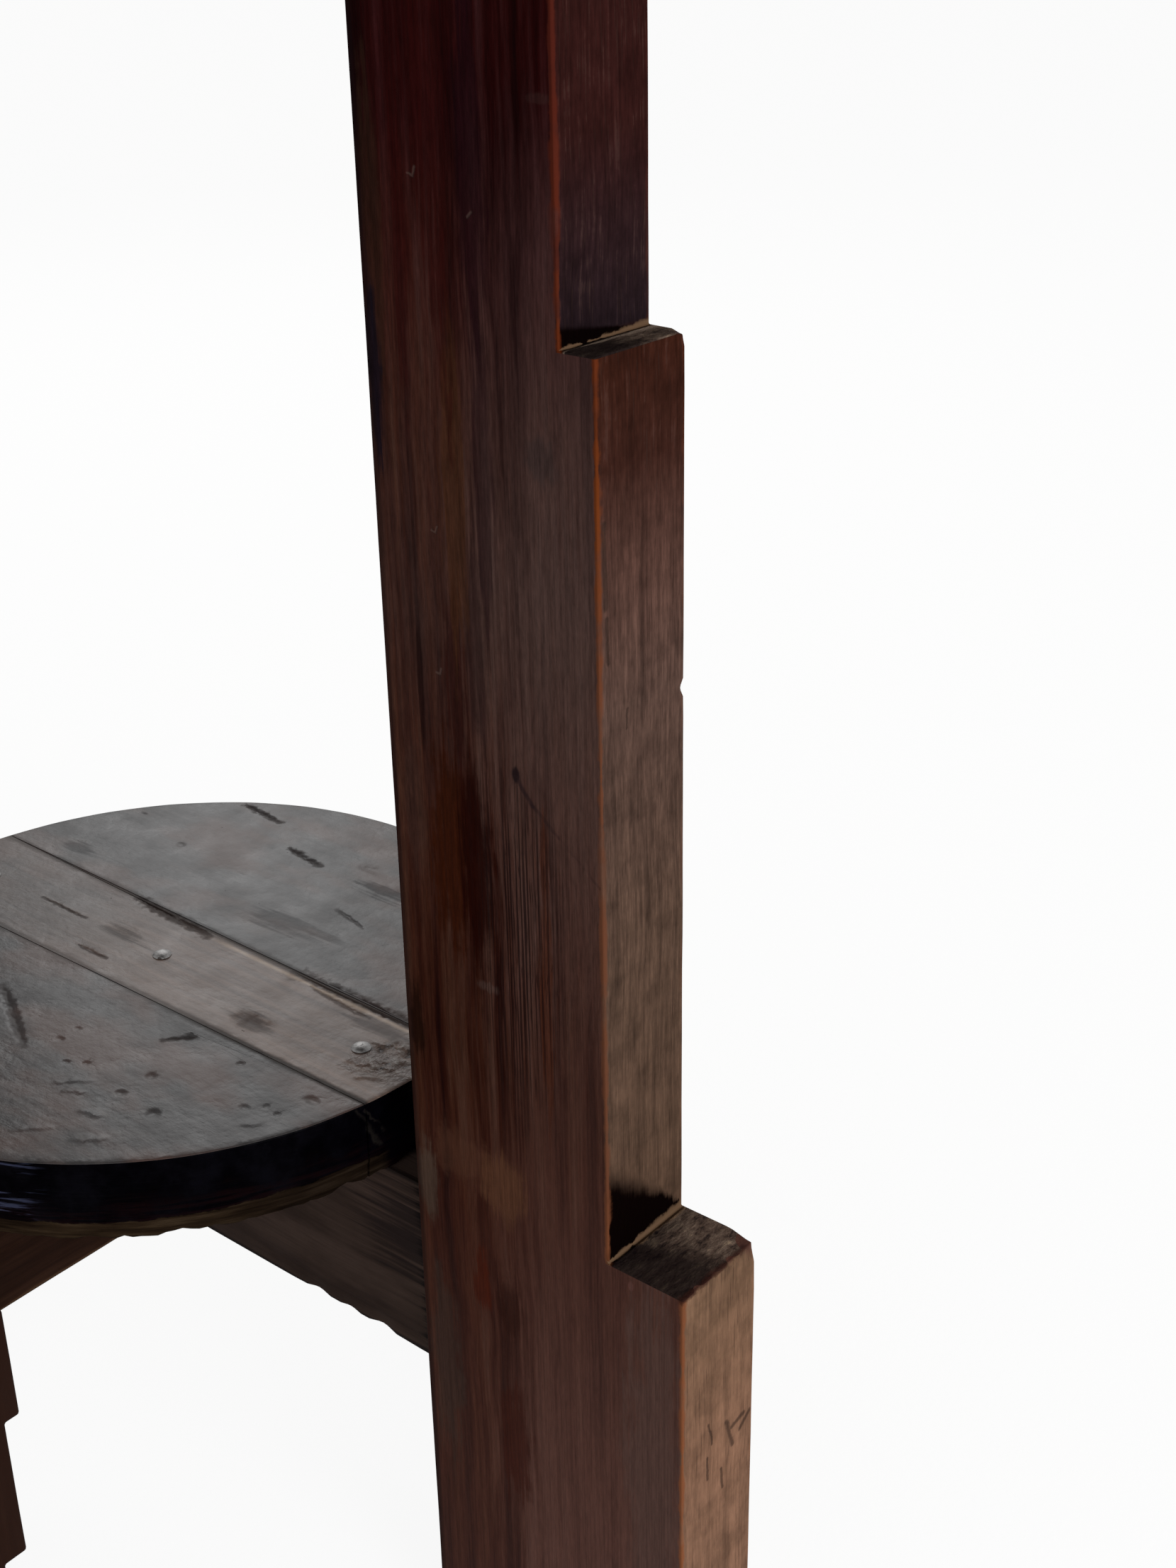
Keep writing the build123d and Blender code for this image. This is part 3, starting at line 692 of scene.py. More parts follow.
# Pale scratches on the wide faces, then the long dark score.
scores = 0.0
score_place = aim("ADD", mirrored, aim("SCALE", (0.003, 0.0, 0.003), ragged))
for (start_x, start_z), (end_x, end_z), width in (
        ((0.1537, 0.4772), (0.1552, 0.4766), 0.0006), ((0.1552, 0.4766), (0.1562, 0.4790), 0.0006),
        ((0.1728, 0.4690), (0.1738, 0.4700), 0.0006), ((0.1562, 0.3888), (0.1574, 0.3884), 0.0006),
        ((0.1574, 0.3884), (0.1580, 0.3900), 0.0005), ((0.1555, 0.3495), (0.1566, 0.3491), 0.0006),
        ((0.1566, 0.3491), (0.1571, 0.3507), 0.0005)):
    score = use(scored_line, Vector=score_place, Start=(start_x, -leg_half, start_z),
                End=(end_x, -leg_half, end_z), Width=width)["Line"]
    scores = calc("MAXIMUM", score, scores)
colour = mixed(scores * 0.34, colour, (0.11, 0.072, 0.06))
for (start_x, start_z), (end_x, end_z), width, strength in (
        ((0.1828, 0.3258), (0.1880, 0.3195), 0.0013, 0.60),
        ((0.1880, 0.3195), (0.1960, 0.3125), 0.0010, 0.42),
        ((0.1960, 0.3125), (0.2100, 0.3020), 0.0007, 0.26)):
    dark_score = use(scored_line, Vector=score_place, Start=(start_x, -leg_half, start_z),
                     End=(end_x, -leg_half, end_z), Width=width)["Line"]
    colour = mixed(dark_score * (ragged * 1.6 + strength), colour, (0.017, 0.008, 0.0085))

# Sheen and relief: duller on the narrow faces, rough on the ledges.
gloss = graded(grain["Fine"], [(0.3, 0.38), (0.7, 0.55)])
gloss = mixed(on_narrow, gloss, (0.6, 0.6, 0.6))
gloss = mixed(calc("MAXIMUM", on_ledge, corner_black), gloss, (0.9, 0.9, 0.9))
polish = painted_sheen_share * 0.05 * ((1.0 - on_narrow) * eased(height_share, 0.66, 0.5))
relief = grain["Fine"] * 0.12
relief = mottle * 0.08 + relief
relief = calc("MAXIMUM", scores, cracks) * -0.25 + relief
relief = on_ledge * end_rough * 1.6 + relief
finish_with(standard_finish, colour, gloss, relief, depth=0.001, specular=0.005, polish=polish)

# Nicks in the arrises: place, reach and push.
right_nicks = (((outer_middle, leg_half, 0.3473), 0.0032, (-0.0004, -0.0009, 0)),
               ((outer_foot, leg_half, low_ledge), 0.0100, (-0.0010, -0.0004, -0.0012)),
               ((outer_foot, -0.0100, low_ledge), 0.0030, (-0.0007, 0, -0.0009)),
               ((outer_foot, -0.0020, low_ledge), 0.0026, (-0.0005, 0, -0.0007)),
               ((outer_foot, 0.0060, low_ledge), 0.0034, (-0.0008, 0, -0.0010)),
               ((outer_middle, leg_half, high_ledge), 0.0050, (-0.0004, -0.0003, -0.0010)))
left_nicks = (((-outer_middle, -leg_half, 0.2900), 0.0040, (0.0005, 0.0008, 0)),
              ((-outer_foot, -leg_half, low_ledge), 0.0100, (0.0010, 0.0004, -0.0012)))
for leg, leg_nicks in (("leg_right", right_nicks), ("leg_left", left_nicks)):
    leg_mesh = planed_mesh(leg, arris=0.0013, spacing=0.011, wave=0.00008, nicks=leg_nicks)
    fitted_piece(leg, leg_mesh, standard_finish, "base", [leg])

# Three rails tie the standards: the main rail is tenoned between them under the shelf, the
# cross rail is halved over it, and the upper rail sits just under the top. All are planed
# planks, stained thinner than the standards, with dark rubbed lower edges.
box_arris, box_in, box_out = effect(
    "box_arris", (("Vector", "Vector"), ("Centre", "Vector"), ("Half", "Vector")), ("Distance",))
depth_x, depth_y, depth_z = split(aim(
    "SUBTRACT", box_in["Half"], aim("ABSOLUTE", aim("SUBTRACT", box_in["Vector"], box_in["Centre"]))))
feed(box_out["Distance"], calc("MAXIMUM", calc("MINIMUM", depth_x, depth_y),
                               calc("MINIMUM", calc("MAXIMUM", depth_x, depth_y), depth_z)))


def plank_finish(name, grain_turn, boxes, tones, bare_colour, bare_width, specular, polish_share,
                 shade_patches=()):
    """Stained plank: grain turned to run along it, mottled stain, bare wood on its arrises."""
    material, place = new_finish(name)
    along = swung(place, grain_turn)
    grain = use(straight_grain, Vector=along, Across=420.0, Along=10.0)
    mottle = clouds(aim("MULTIPLY", along, (1.0, 1.0, 0.4)), 60, 4.0, 0.6)
    colour = graded(grain["Broad"] * 0.5 + grain["Fine"] * 0.5,
                    [(0.36, tones[0]), (0.5, tones[1]), (0.62, tones[2])])
    colour = tinted(colour, graded(mottle, [(0.34, 0.68), (0.5, 1.0), (0.66, 1.22)]), 0.8)
    colour = mixed(grain["Pores"] * 0.4, colour, tones[0])
    # Patches of painted shade, such as where a rail meets a standard.
    for centre, reach, shade_colour, strength in shade_patches:
        shade_patch = use(stain_patch, Vector=place, Centre=centre, Reach=reach,
                    Ragged=(grain["Fine"] - 0.5) * 3.0)["Patch"]
        colour = mixed(shade_patch * strength, colour, shade_colour)
    away = 1.0
    for low, high in boxes:
        edge = use(box_arris, Vector=place, Centre=tuple((Vector(low) + Vector(high)) / 2),
                   Half=tuple((Vector(high) - Vector(low)) / 2))["Distance"]
        inside = edge > -0.0012
        edge = edge + (1.0 - inside)
        away = calc("MINIMUM", edge, away)
    bare = use(worn_arris, Breaks=mottle, Distance=away, Width=bare_width)["Wear"]
    colour = mixed(bare * 0.8, colour, bare_colour)
    gloss = graded(grain["Fine"], [(0.3, 0.42), (0.7, 0.62)])
    relief = grain["Fine"] * 0.14
    relief = mottle * 0.35 + relief
    polish = eased(mottle, 0.35, 0.65) * polish_share
    finish_with(material, colour, gloss, relief, depth=0.001, specular=specular, polish=polish)
    return material


grain_along_x = (0, math.radians(-90), 0)
grain_along_y = (math.radians(90), 0, 0)
main_low, main_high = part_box("main_rail")
cross_low, cross_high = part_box("cross_rail")
upper_low, upper_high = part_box("upper_rail")
olive_tones = ((0.0310, 0.0195, 0.0160), (0.0420, 0.0270, 0.0215), (0.0530, 0.0345, 0.0280))
red_tones = ((0.0085, 0.0038, 0.0026), (0.0145, 0.0064, 0.0040), (0.0215, 0.0098, 0.0060))
main_box = ((-0.2, main_low.y, main_low.z), (0.2, main_high.y, main_high.z))

# Painted shade on the main rail where it meets each standard, darkest in the corner: place, reach, colour
# and strength.
main_rail_shade = (((0.128, -0.014, 0.15), (0.03, 0.03, 0.026), (0.0125, 0.008, 0.0078), 0.85),
               ((-0.128, 0.014, 0.15), (0.03, 0.03, 0.026), (0.0125, 0.008, 0.0078), 0.85),
               ((leg_inner, -0.014, 0.135), (0.006, 0.03, 0.08), (0.003, 0.002, 0.0022), 0.9),
               ((-leg_inner, 0.014, 0.135), (0.006, 0.03, 0.08), (0.003, 0.002, 0.0022), 0.9))
main_finish = plank_finish("stained_main_rail", grain_along_x, [main_box], olive_tones,
                           bare_colour=(0.006, 0.0045, 0.0045), bare_width=0.0022, specular=0.008,
                           polish_share=0.02, shade_patches=main_rail_shade)
cross_finish = plank_finish("stained_cross_rail", grain_along_y, [(cross_low, cross_high)], red_tones,
                            bare_colour=(0.055, 0.03, 0.017), bare_width=0.0012, specular=0.008,
                            polish_share=0.02)
upper_finish = plank_finish("stained_upper_rail", grain_along_x, [(upper_low, upper_high)], red_tones,
                            bare_colour=(0.06, 0.022, 0.01), bare_width=0.0012, specular=0.02,
                            polish_share=0.06)

# Nicks in the main rail's lower arris: place, reach and push.
main_nicks = (((0.082, main_low.y, main_low.z), 0.0070, (0, 0.0004, 0.0011)),
              ((0.097, main_low.y, main_low.z), 0.0060, (0, 0.0003, 0.0008)),
              ((0.112, main_low.y, main_low.z), 0.0080, (0, 0.0005, 0.0013)))
for rail, rail_finish, rail_wave, rail_nicks in (
        ("main_rail", main_finish, 0.00012, main_nicks), ("cross_rail", cross_finish, 0.00012, ()),
        ("upper_rail", upper_finish, 0.0001, ())):
    rail_mesh = planed_mesh(rail, arris=0.0012, spacing=0.012, wave=rail_wave, nicks=rail_nicks)
    fitted_piece(rail, rail_mesh, rail_finish, "base", [rail])

# The two short feet stand under the ends of the cross rail, tenoned up into it, and step
# outwards on their way down. They are cut from the same planks as the standards.
foot_tones = ((0.0065, 0.0032, 0.0024), (0.0170, 0.0085, 0.0058), (0.0300, 0.0155, 0.0105))
for foot in ("foot_front", "foot_back"):
    foot_corners = [corner.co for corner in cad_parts[foot].data.vertices]
    foot_low, foot_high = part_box(foot)
    foot_end = max(abs(foot_low.y), abs(foot_high.y))
    foot_step = max(corner.z for corner in foot_corners if abs(corner.y) > foot_end - 0.001)
    upper_reach = [corner.y for corner in foot_corners
                   if foot_step + 0.001 < corner.z < cross_low.z + 0.0005]
    lower_reach = [corner.y for corner in foot_corners if corner.z < foot_step + 0.0005]
    foot_boxes = [
        ((foot_low.x, min(upper_reach), foot_step), (foot_high.x, max(upper_reach), cross_low.z)),
        ((foot_low.x, min(lower_reach), 0.0), (foot_high.x, max(lower_reach), foot_step))]
    foot_finish = plank_finish("stained_" + foot, (0, 0, 0), foot_boxes, foot_tones,
                               bare_colour=(0.022, 0.0095, 0.0065), bare_width=0.0009, specular=0.008,
                               polish_share=0.02)
    foot_mesh = planed_mesh(foot, arris=0.0013, spacing=0.011, wave=0.0001)
    fitted_piece(foot, foot_mesh, foot_finish, "base", [foot])

# The shelf is a disc in three pieces, two half-moon boards with a narrow strip between them,
# sawn round together. Its top is waxed grey by years of use, dented and cracked; its edge is
# black, with a bare ragged band along the bottom where the saw broke out.
shelf_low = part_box("shelf_front_board")[0]
shelf_radius = abs(shelf_low.y)
shelf_bottom = shelf_low.z
strip_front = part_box("shelf_middle_strip")[0].y
strip_corners = [corner.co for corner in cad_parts["shelf_middle_strip"].data.vertices]
strip_back_right = max(corner.y for corner in strip_corners if corner.x > 0.11)
strip_back_left = max(corner.y for corner in strip_corners if corner.x < -0.11)


def plan_outline(node, radius):
    """A flat board's outline seen from above, anticlockwise, its round edge drawn finely."""
    work = cad_shape(node)
    top = max(vert.co.z for vert in work.verts)
    beside = {}
    for edge in work.edges:
        level = all(vert.co.z > top - 1e-5 for vert in edge.verts)
        if level and any(abs(face.normal.z) < 0.5 for face in edge.link_faces):
            for first, second in (edge.verts, reversed(edge.verts)):
                beside.setdefault(first.index, []).append(second.index)
    work.verts.ensure_lookup_table()
    start = max(beside, key=lambda index: work.verts[index].co.to_2d().length)
    order = [start]
    while True:
        onward = [index for index in beside[order[-1]] if index not in order[-2:]]
        if not onward or onward[0] == start:
            break
        order.append(onward[0])
    points = [work.verts[index].co.to_2d() for index in order]
    work.free()
    turn = sum(a.x * b.y - a.y * b.x for a, b in zip(points, points[1:] + points[:1]))
    if turn < 0:
        points.reverse()
    fine = []
    for here, onward in zip(points, points[1:] + points[:1]):
        fine.append(here)
        round_run = min(here.length, onward.length) > radius - 0.0003
        if round_run and (here - onward).length < radius * 0.5:
            swing = here.angle_signed(onward)
            count = max(1, math.ceil(abs(swing) / math.radians(1.5)))
            for step in range(1, count):
                angle = math.atan2(here.y, here.x) - swing * step / count
                fine.append(Vector((math.cos(angle), math.sin(angle))) * radius)
    return fine


def worn_level(point, dents, grooves, tears):
    """How far use has sunk or lifted a board's top at a point: dents, grooves and torn grain."""
    rough = noise.noise(Vector((point.x * 420, point.y * 420, 4)))
    level = 0.0
    for place, reach, depth in dents:
        away = math.hypot((point.x - place[0]) / reach[0], (point.y - place[1]) / reach[1]) + 0.2 * rough
        if away < 1:
            level -= depth * (1 - away * away) ** 2
    for start, end, width, depth in grooves + tears:
        run = Vector(end) - Vector(start)
        share = (point - Vector(start)).dot(run) / run.length_squared
        if not 0 < share < 1:
            continue
        across = (point - Vector(start)).cross(run) / run.length + width * 0.5 * rough
        if depth < 0:
            across = across * 4 if across > 0 else across
        near = 1 - abs(across) / width / (1 - (2 * share - 1) ** 4 + 1e-6)
        if near > 0:
            level -= depth * near * near * (3 - 2 * near) * (1 - (2 * share - 1) ** 4)
    return level


def worn_fill(work, ring, dents, grooves, tears, spacing):
    """Fills a ring at a board's top with triangles, finer where the marks of use are."""
    outline = [vert.co.to_2d() for vert in ring]
    level = ring[0].co.z
    rim = max(point.length for point in outline)
    rim_margin, joint_margin = 0.0012, 0.0008
    closest = 0.0003
    wave_depth, wave_fade = 0.0001, 0.006
    walls = []
    for here, onward in zip(outline, outline[1:] + outline[:1]):
        if (onward - here).length > 0.02:
            walls.append((here, (onward - here).normalized()))
    low = Vector([min(point[axis] for point in outline) for axis in range(2)])
    high = Vector([max(point[axis] for point in outline) for axis in range(2)])
    patches = [(low, high, spacing)]
    for place, reach, depth in dents:
        spread = Vector(reach) * 1.3
        patches.append((Vector(place) - spread, Vector(place) + spread, max(reach) / 7))
    for start, end, width, depth in grooves + tears:
        corners = (Vector(start), Vector(end))
        spread = Vector((width, width)) * 1.2
        patches.append((Vector([min(point[axis] for point in corners) for axis in range(2)]) - spread,
                        Vector([max(point[axis] for point in corners) for axis in range(2)]) + spread,
                        max(width / 4, 0.0004)))
    points = list(outline)
    taken = set()
    for corner, far_corner, step in patches:
        for row in range(int((far_corner.y - corner.y) / step) + 1):
            for column in range(int((far_corner.x - corner.x) / step) + 1):
                point = corner + Vector((column + 0.5 * (row % 2), row * 0.87)) * step
                inside = point.length < rim - rim_margin
                for here, run in walls:
                    inside = inside and run.cross(point - here) > joint_margin
                cell = (round(point.x / closest), round(point.y / closest))
                if inside and cell not in taken:
                    taken.add(cell)
                    points.append(point)
    count = len(outline)
    edges = [(index, (index + 1) % count) for index in range(count)]
    filled = geometry.delaunay_2d_cdt(points, edges, [], 1, 1e-7)
    spots, triangles, origins = filled[0], filled[2], filled[3]
    verts = {}
    for index, origin in enumerate(origins):
        if origin and origin[0] < count:
            verts[index] = ring[origin[0]]
    for corners in triangles:
        for index in corners:
            if index not in verts:
                point = spots[index]
                from_edge = min([run.cross(point - here) for here, run in walls] + [rim - point.length])
                wave = wave_depth * noise.noise(Vector((point.x * 22, point.y * 55, 9))) - wave_depth
                sunk = worn_level(point, dents, grooves, tears) + wave * min(1.0, from_edge / wave_fade)
                verts[index] = work.verts.new((*point, level + sunk))
        work.faces.new([verts[index] for index in corners])


def sawn_board(node, radius, rows, waver, breakout, wear):
    """A flat board from its outline: rows of height, inset of the round edge and inset of the
    joints; the round edge wavers as the saw did, and its lowest rows break out in chips."""
    outline = plan_outline(node, radius)
    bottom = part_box(node)[0].z
    chip_height = 0.004
    count = len(outline)
    outward = []
    rounds = []
    for index in range(count):
        here, onward = outline[index], outline[(index + 1) % count]
        run = (onward - here).normalized()
        outward.append(Vector((run.y, -run.x)))
        rounds.append(((here + onward) / 2).length > radius - 0.0004)
    work = bmesh.new()
    rings = []
    for row, (rise, round_inset, joint_inset) in enumerate(rows):
        ring = []
        for index, point in enumerate(outline):
            before, after = outward[index - 1], outward[index]
            inset_before = round_inset if rounds[index - 1] else joint_inset
            inset_after = round_inset if rounds[index] else joint_inset
            spin = math.atan2(point.y, point.x)
            chip = 0.0
            if rounds[index] or rounds[index - 1]:
                sway = waver * (noise.noise(Vector((spin * 9, rise * 160, 2))) + 1)
                inset_before += sway * rounds[index - 1]
                inset_after += sway * rounds[index]
                rough = noise.noise(Vector((spin * 14, 5, 1)))
                rough += 0.35 * noise.noise(Vector((spin * 40, 9, 4)))
                low_share = max(0.0, 1 - rise / chip_height)
                chip = breakout * max(0.0, rough + 0.15) * low_share * (row > 0)
            if before.dot(after) > 0.9:
                moved = point - (before + after).normalized() * (inset_before + inset_after) / 2
            else:
                area = before.x * after.y - before.y * after.x
                shift_x = (-inset_before * after.y + inset_after * before.y) / area
                shift_y = (-before.x * inset_after + after.x * inset_before) / area
                moved = point + Vector((shift_x, shift_y))
            ring.append(work.verts.new((moved.x, moved.y, bottom + rise + chip)))
        rings.append(ring)
    for row, (lower, upper) in enumerate(zip(rings, rings[1:])):
        for index in range(count):
            other = (index + 1) % count
            face = work.faces.new((lower[index], lower[other], upper[other], upper[index]))
            face.material_index = 0 if row >= len(rows) - 2 else 1
    worn_fill(work, rings[-1], *wear)
    work.faces.new(list(reversed(rings[0])))
    bmesh.ops.triangulate(work, faces=[face for face in work.faces if len(face.verts) > 4])
    return finished_mesh(work, node + "_sawn")


# Marks of use on the shelf. Dents: place, reach and depth.
shelf_dents = (
    ((0.0563, -0.0520), (0.0030, 0.0026), 0.00042), ((0.0560, -0.0637), (0.0026, 0.0022), 0.00040),
    ((0.0725, -0.0650), (0.0036, 0.0030), 0.00055), ((0.1059, -0.0303), (0.0040, 0.0028), 0.00042),
    ((0.0487, -0.0293), (0.0038, 0.0026), 0.00050), ((0.0341, -0.0595), (0.0018, 0.0018), 0.00030),
    ((0.0283, -0.0630), (0.0018, 0.0016), 0.00026), ((0.0731, -0.0298), (0.0022, 0.0018), 0.00030),
    ((0.1027, -0.0419), (0.0018, 0.0016), 0.00026), ((0.0970, -0.0410), (0.0016, 0.0016), 0.00022),
    ((0.0923, -0.0457), (0.0030, 0.0020), 0.00026), ((0.0580, -0.0112), (0.0110, 0.0060), 0.00090),
    ((0.0156, -0.0483), (0.0020, 0.0018), 0.00024), ((0.0158, -0.0558), (0.0024, 0.0020), 0.00030),
    ((-0.0250, 0.0010), (0.0120, 0.0060), 0.00035), ((0.0130, 0.0900), (0.0080, 0.0040), 0.00040),
    ((0.0360, 0.0850), (0.0080, 0.0045), 0.00040), ((-0.0400, -0.0700), (0.0030, 0.0024), 0.00040),
    ((-0.0700, -0.0450), (0.0026, 0.0024), 0.00036), ((-0.0600, 0.0600), (0.0030, 0.0024), 0.00030),
    ((0.1020, 0.0030), (0.0030, 0.0022), 0.00060), ((0.1085, -0.0030), (0.0026, 0.0030), 0.00060),
    ((0.1110, 0.0060), (0.0034, 0.0024), 0.00070), ((0.1045, 0.0085), (0.0024, 0.0030), 0.00050),
    ((0.1140, 0.0005), (0.0022, 0.0034), 0.00060), ((0.1000, -0.0085), (0.0028, 0.0018), 0.00040))

# Grooves: start, end, width and depth.
shelf_grooves = (((-0.066, 0.099), (-0.044, 0.0963), 0.002, 0.0006),
                 ((-0.025, 0.083), (-0.0046, 0.08), 0.0019, 0.0006),
                 ((-0.0677, 0.0012), (-0.0424, 0.0004), 0.001, 0.0003),
                 ((-0.0291, -0.0132), (-0.0133, -0.0135), 0.0011, 0.0003),
                 ((-0.038, 0.0215), (0.003, 0.019), 0.0032, 0.0008),
                 ((0.045, 0.0195), (0.118, 0.0205), 0.004, 0.0005),
                 ((-0.027, -0.0465), (0.01, -0.0655), 0.0024, 0.0005),
                 ((0.056, 0.0162), (0.086, 0.014), 0.0012, 0.0003),
                 ((0.025, 0.06), (0.042, 0.056), 0.0012, 0.0003),
                 ((0.043, -0.0352), (0.0494, -0.0281), 0.0016, 0.0004))

# Torn grain: start, end, width and a depth below 0, since it is lifted.
torn_grain = (((0.0403, -0.0748), (0.048, -0.07), 0.0036, -0.0002),
              ((0.0525, -0.079), (0.0625, -0.075), 0.0036, -0.00022),
              ((0.0632, -0.0904), (0.0735, -0.0815), 0.004, -0.00024),
              ((0.0978, -0.0538), (0.1036, -0.048), 0.0036, -0.00022),
              ((0.034, -0.074), (0.045, -0.064), 0.0036, -0.00018),
              ((0.045, -0.098), (0.056, -0.088), 0.0036, -0.0002),
              ((-0.02, -0.09), (-0.008, -0.085), 0.0036, -0.0002),
              ((0.096, 0.004), (0.112, 0.009), 0.005, -0.0005),
              ((0.101, -0.008), (0.115, -0.002), 0.0045, -0.00045),
              ((0.106, -0.014), (0.115, -0.009), 0.004, -0.00035))

# The waxed face: grey boards with warmer clouds, and the browner strip between them.
shelf_face, place = new_finish("waxed_shelf")
place_x, place_y, place_z = split(place)
grain = use(straight_grain, Vector=swung(place, grain_along_x), Across=330.0, Along=14.0)
mottle = clouds(place, 60, 5.0, 0.62)
ragged = mottle - 0.5
strip_lean = (strip_back_right - strip_back_left) / (2 * shelf_radius)
strip_back = place_x * strip_lean + (strip_back_right + strip_back_left) / 2
past_front = place_y - strip_front
past_back = place_y - strip_back
on_strip = (past_front > 0.0) * (past_back < 0.0)
colour = graded(grain["Fine"], [
    (0.3, (0.02, 0.018, 0.018)), (0.5, (0.034, 0.031, 0.031)), (0.7, (0.048, 0.043, 0.042))])
warmth = clouds(aim("MULTIPLY", place, (0.5, 1.0, 1.0)), 34, 3.0, 0.6)
colour = mixed(eased(warmth, 0.46, 0.64), colour, (0.062, 0.038, 0.032))
strip_colour = graded(grain["Fine"], [
    (0.3, (0.07, 0.046, 0.038)), (0.5, (0.12, 0.082, 0.066)), (0.7, (0.165, 0.112, 0.088))])
colour = mixed(on_strip * (eased(place_x, -0.08, 0.02) * 0.65 + 0.25), colour, strip_colour)

# Dirt and dust along the two joints.
flat = joined(place_x, place_y)
joint_breaks = ragged * 2.2 + 1.0
front_joint = eased(abs(past_front), joint_breaks * 0.0024, 0.0003)
front_joint = front_joint * (eased(place_x, 0.02, 0.06) * 0.5 + 0.46)
back_joint = eased(abs(past_back), joint_breaks * 0.003, 0.0002)
joints = calc("MAXIMUM", front_joint, back_joint * 0.55)
colour = mixed(joints, colour, (0.015, 0.0108, 0.0096))
nearest_joint = calc("MINIMUM", abs(past_front), abs(past_back))
joint_dust = eased(nearest_joint, 0.001, 0.0004) * eased(mottle, 0.4, 0.54)
colour = mixed(joint_dust * 0.3, colour, (0.105, 0.092, 0.084))
marks = joints * 0.85

# Dirt in the grooves, with a strength for each of them.
mark_dirt = 0.0
wander = aim("ADD", flat, aim("SCALE", (0.002, 0.005, 0.0), ragged))
knot_rough = clouds(place, 230, 3.0, 0.6)
mark_breaks = (knot_rough - 0.5) * 4.0 + 1.0
mark_strengths = (0.75, 0.70, 0.6, 0.6, 0.75, 0.55, 0.45, 0.5, 0.4, 0.7)
for (start, end, width, depth), strength in zip(shelf_grooves, mark_strengths):
    mark = use(scored_line, Vector=wander, Start=(*start, 0.0), End=(*end, 0.0),
               Width=mark_breaks * width)["Line"]
    mark_dirt = calc("MAXIMUM", mark * strength, mark_dirt)
marks = calc("MAXIMUM", marks, mark_dirt)
colour = mixed(mark_dirt * 0.9, colour, (0.014, 0.008, 0.0068))

# Dark smudges: centre, reach, how ragged and strength.
smudges = 0.0
for centre, reach, rough, strength in (
        ((-0.0890, 0.0345), (0.0110, 0.0050), 2.0, 0.6), ((-0.0250, 0.0010), (0.0150, 0.0060), 2.4, 0.7),
        ((0.0150, 0.0420), (0.0280, 0.0060), 2.6, 0.5), ((0.0580, -0.0112), (0.0125, 0.0062), 1.4, 0.7),
        ((-0.0925, 0.0696), (0.0030, 0.0016), 0.8, 0.9), ((0.0950, 0.0120), (0.0180, 0.0070), 2.6, 0.5),
        ((0.0300, 0.0800), (0.0180, 0.0060), 2.6, 0.8)):
    smudge_edge = (grain["Fine"] - 0.5) * 2.4 + ragged * rough
    smudge = use(stain_patch, Vector=flat, Centre=(*centre, 0.0), Reach=(*reach, 1.0),
                 Ragged=smudge_edge)["Patch"]
    smudges = calc("MAXIMUM", smudge * strength, smudges)
colour = mixed(smudges * 0.6, colour, (0.012, 0.012, 0.014))

# The splintered place where the strip meets the standard, and the strip's pale lip.
knot = use(stain_patch, Vector=flat, Centre=(0.108, 0.002, 0.0), Reach=(0.018, 0.019, 1.0),
           Ragged=ragged * 1.4)["Patch"]
lip = eased(abs(past_back + 0.003), joint_breaks * 0.0016, 0.0) * eased(place_x, 0.0, 0.02)
colour = mixed(lip * 0.85, colour, (0.34, 0.255, 0.19))
colour = mixed(knot * 0.6 * eased(knot_rough, 0.52, 0.62), colour, (0.26, 0.235, 0.215))
colour = mixed(knot * 0.8 * eased(knot_rough, 0.47, 0.38), colour, (0.02, 0.015, 0.014))

# Sheen and relief: dull in the marks, glossiest on the left and in front.
gloss = graded(mottle, [(0.32, 0.3), (0.66, 0.44)])
gloss = mixed(calc("MAXIMUM", marks, smudges * 0.6), gloss, (0.75, 0.75, 0.75))
polish = 1.0 - calc("MAXIMUM", marks * 0.85, smudges * 0.55)
polish = polish * graded(mottle, [(0.34, 0.4), (0.6, 0.52)])
polish = polish * (eased(place_x, 0.0, 0.11) * -0.22 + 1.0)
polish = polish * (eased(place_y, 0.02, 0.1) * -0.12 + 1.0)
relief = grain["Fine"] * 0.1
relief = mottle * 0.7 + relief
relief = knot_rough * 0.06 + relief
relief = knot * knot_rough * 2.0 + relief
finish_with(shelf_face, colour, gloss, relief, depth=0.001, specular=0.12, polish=polish * 0.22)
shelf_face.node_tree.nodes["Principled BSDF"].inputs["Coat IOR"].default_value = 1.62

# The edge: black, redder low down, with painted bluish highlights on its saw ridges, a bare band and a
# few scratches.
shelf_edge, place = new_finish("black_shelf_edge")
place_x, place_y, place_z = split(place)
spin = calc("ARCTAN2", place_y, place_x)
rise = place_z - shelf_bottom
round_place = joined(spin * 5.0, place_z * 520.0)
saw_lines = clouds(round_place, 1.0, 4.0, 0.6)
mottle = clouds(place, 85, 4.0, 0.62)
ragged = mottle - 0.5
colour = graded(mottle, [
    (0.36, (0.0003, 0.0002, 0.0004)), (0.54, (0.0007, 0.0005, 0.0012)), (0.7, (0.0012, 0.001, 0.0022))])
red_share = eased(ragged * 0.02 + rise, 0.017, 0.008) * eased(saw_lines, 0.4, 0.6)
colour = mixed(red_share * 0.7, colour, (0.0052, 0.0016, 0.002))
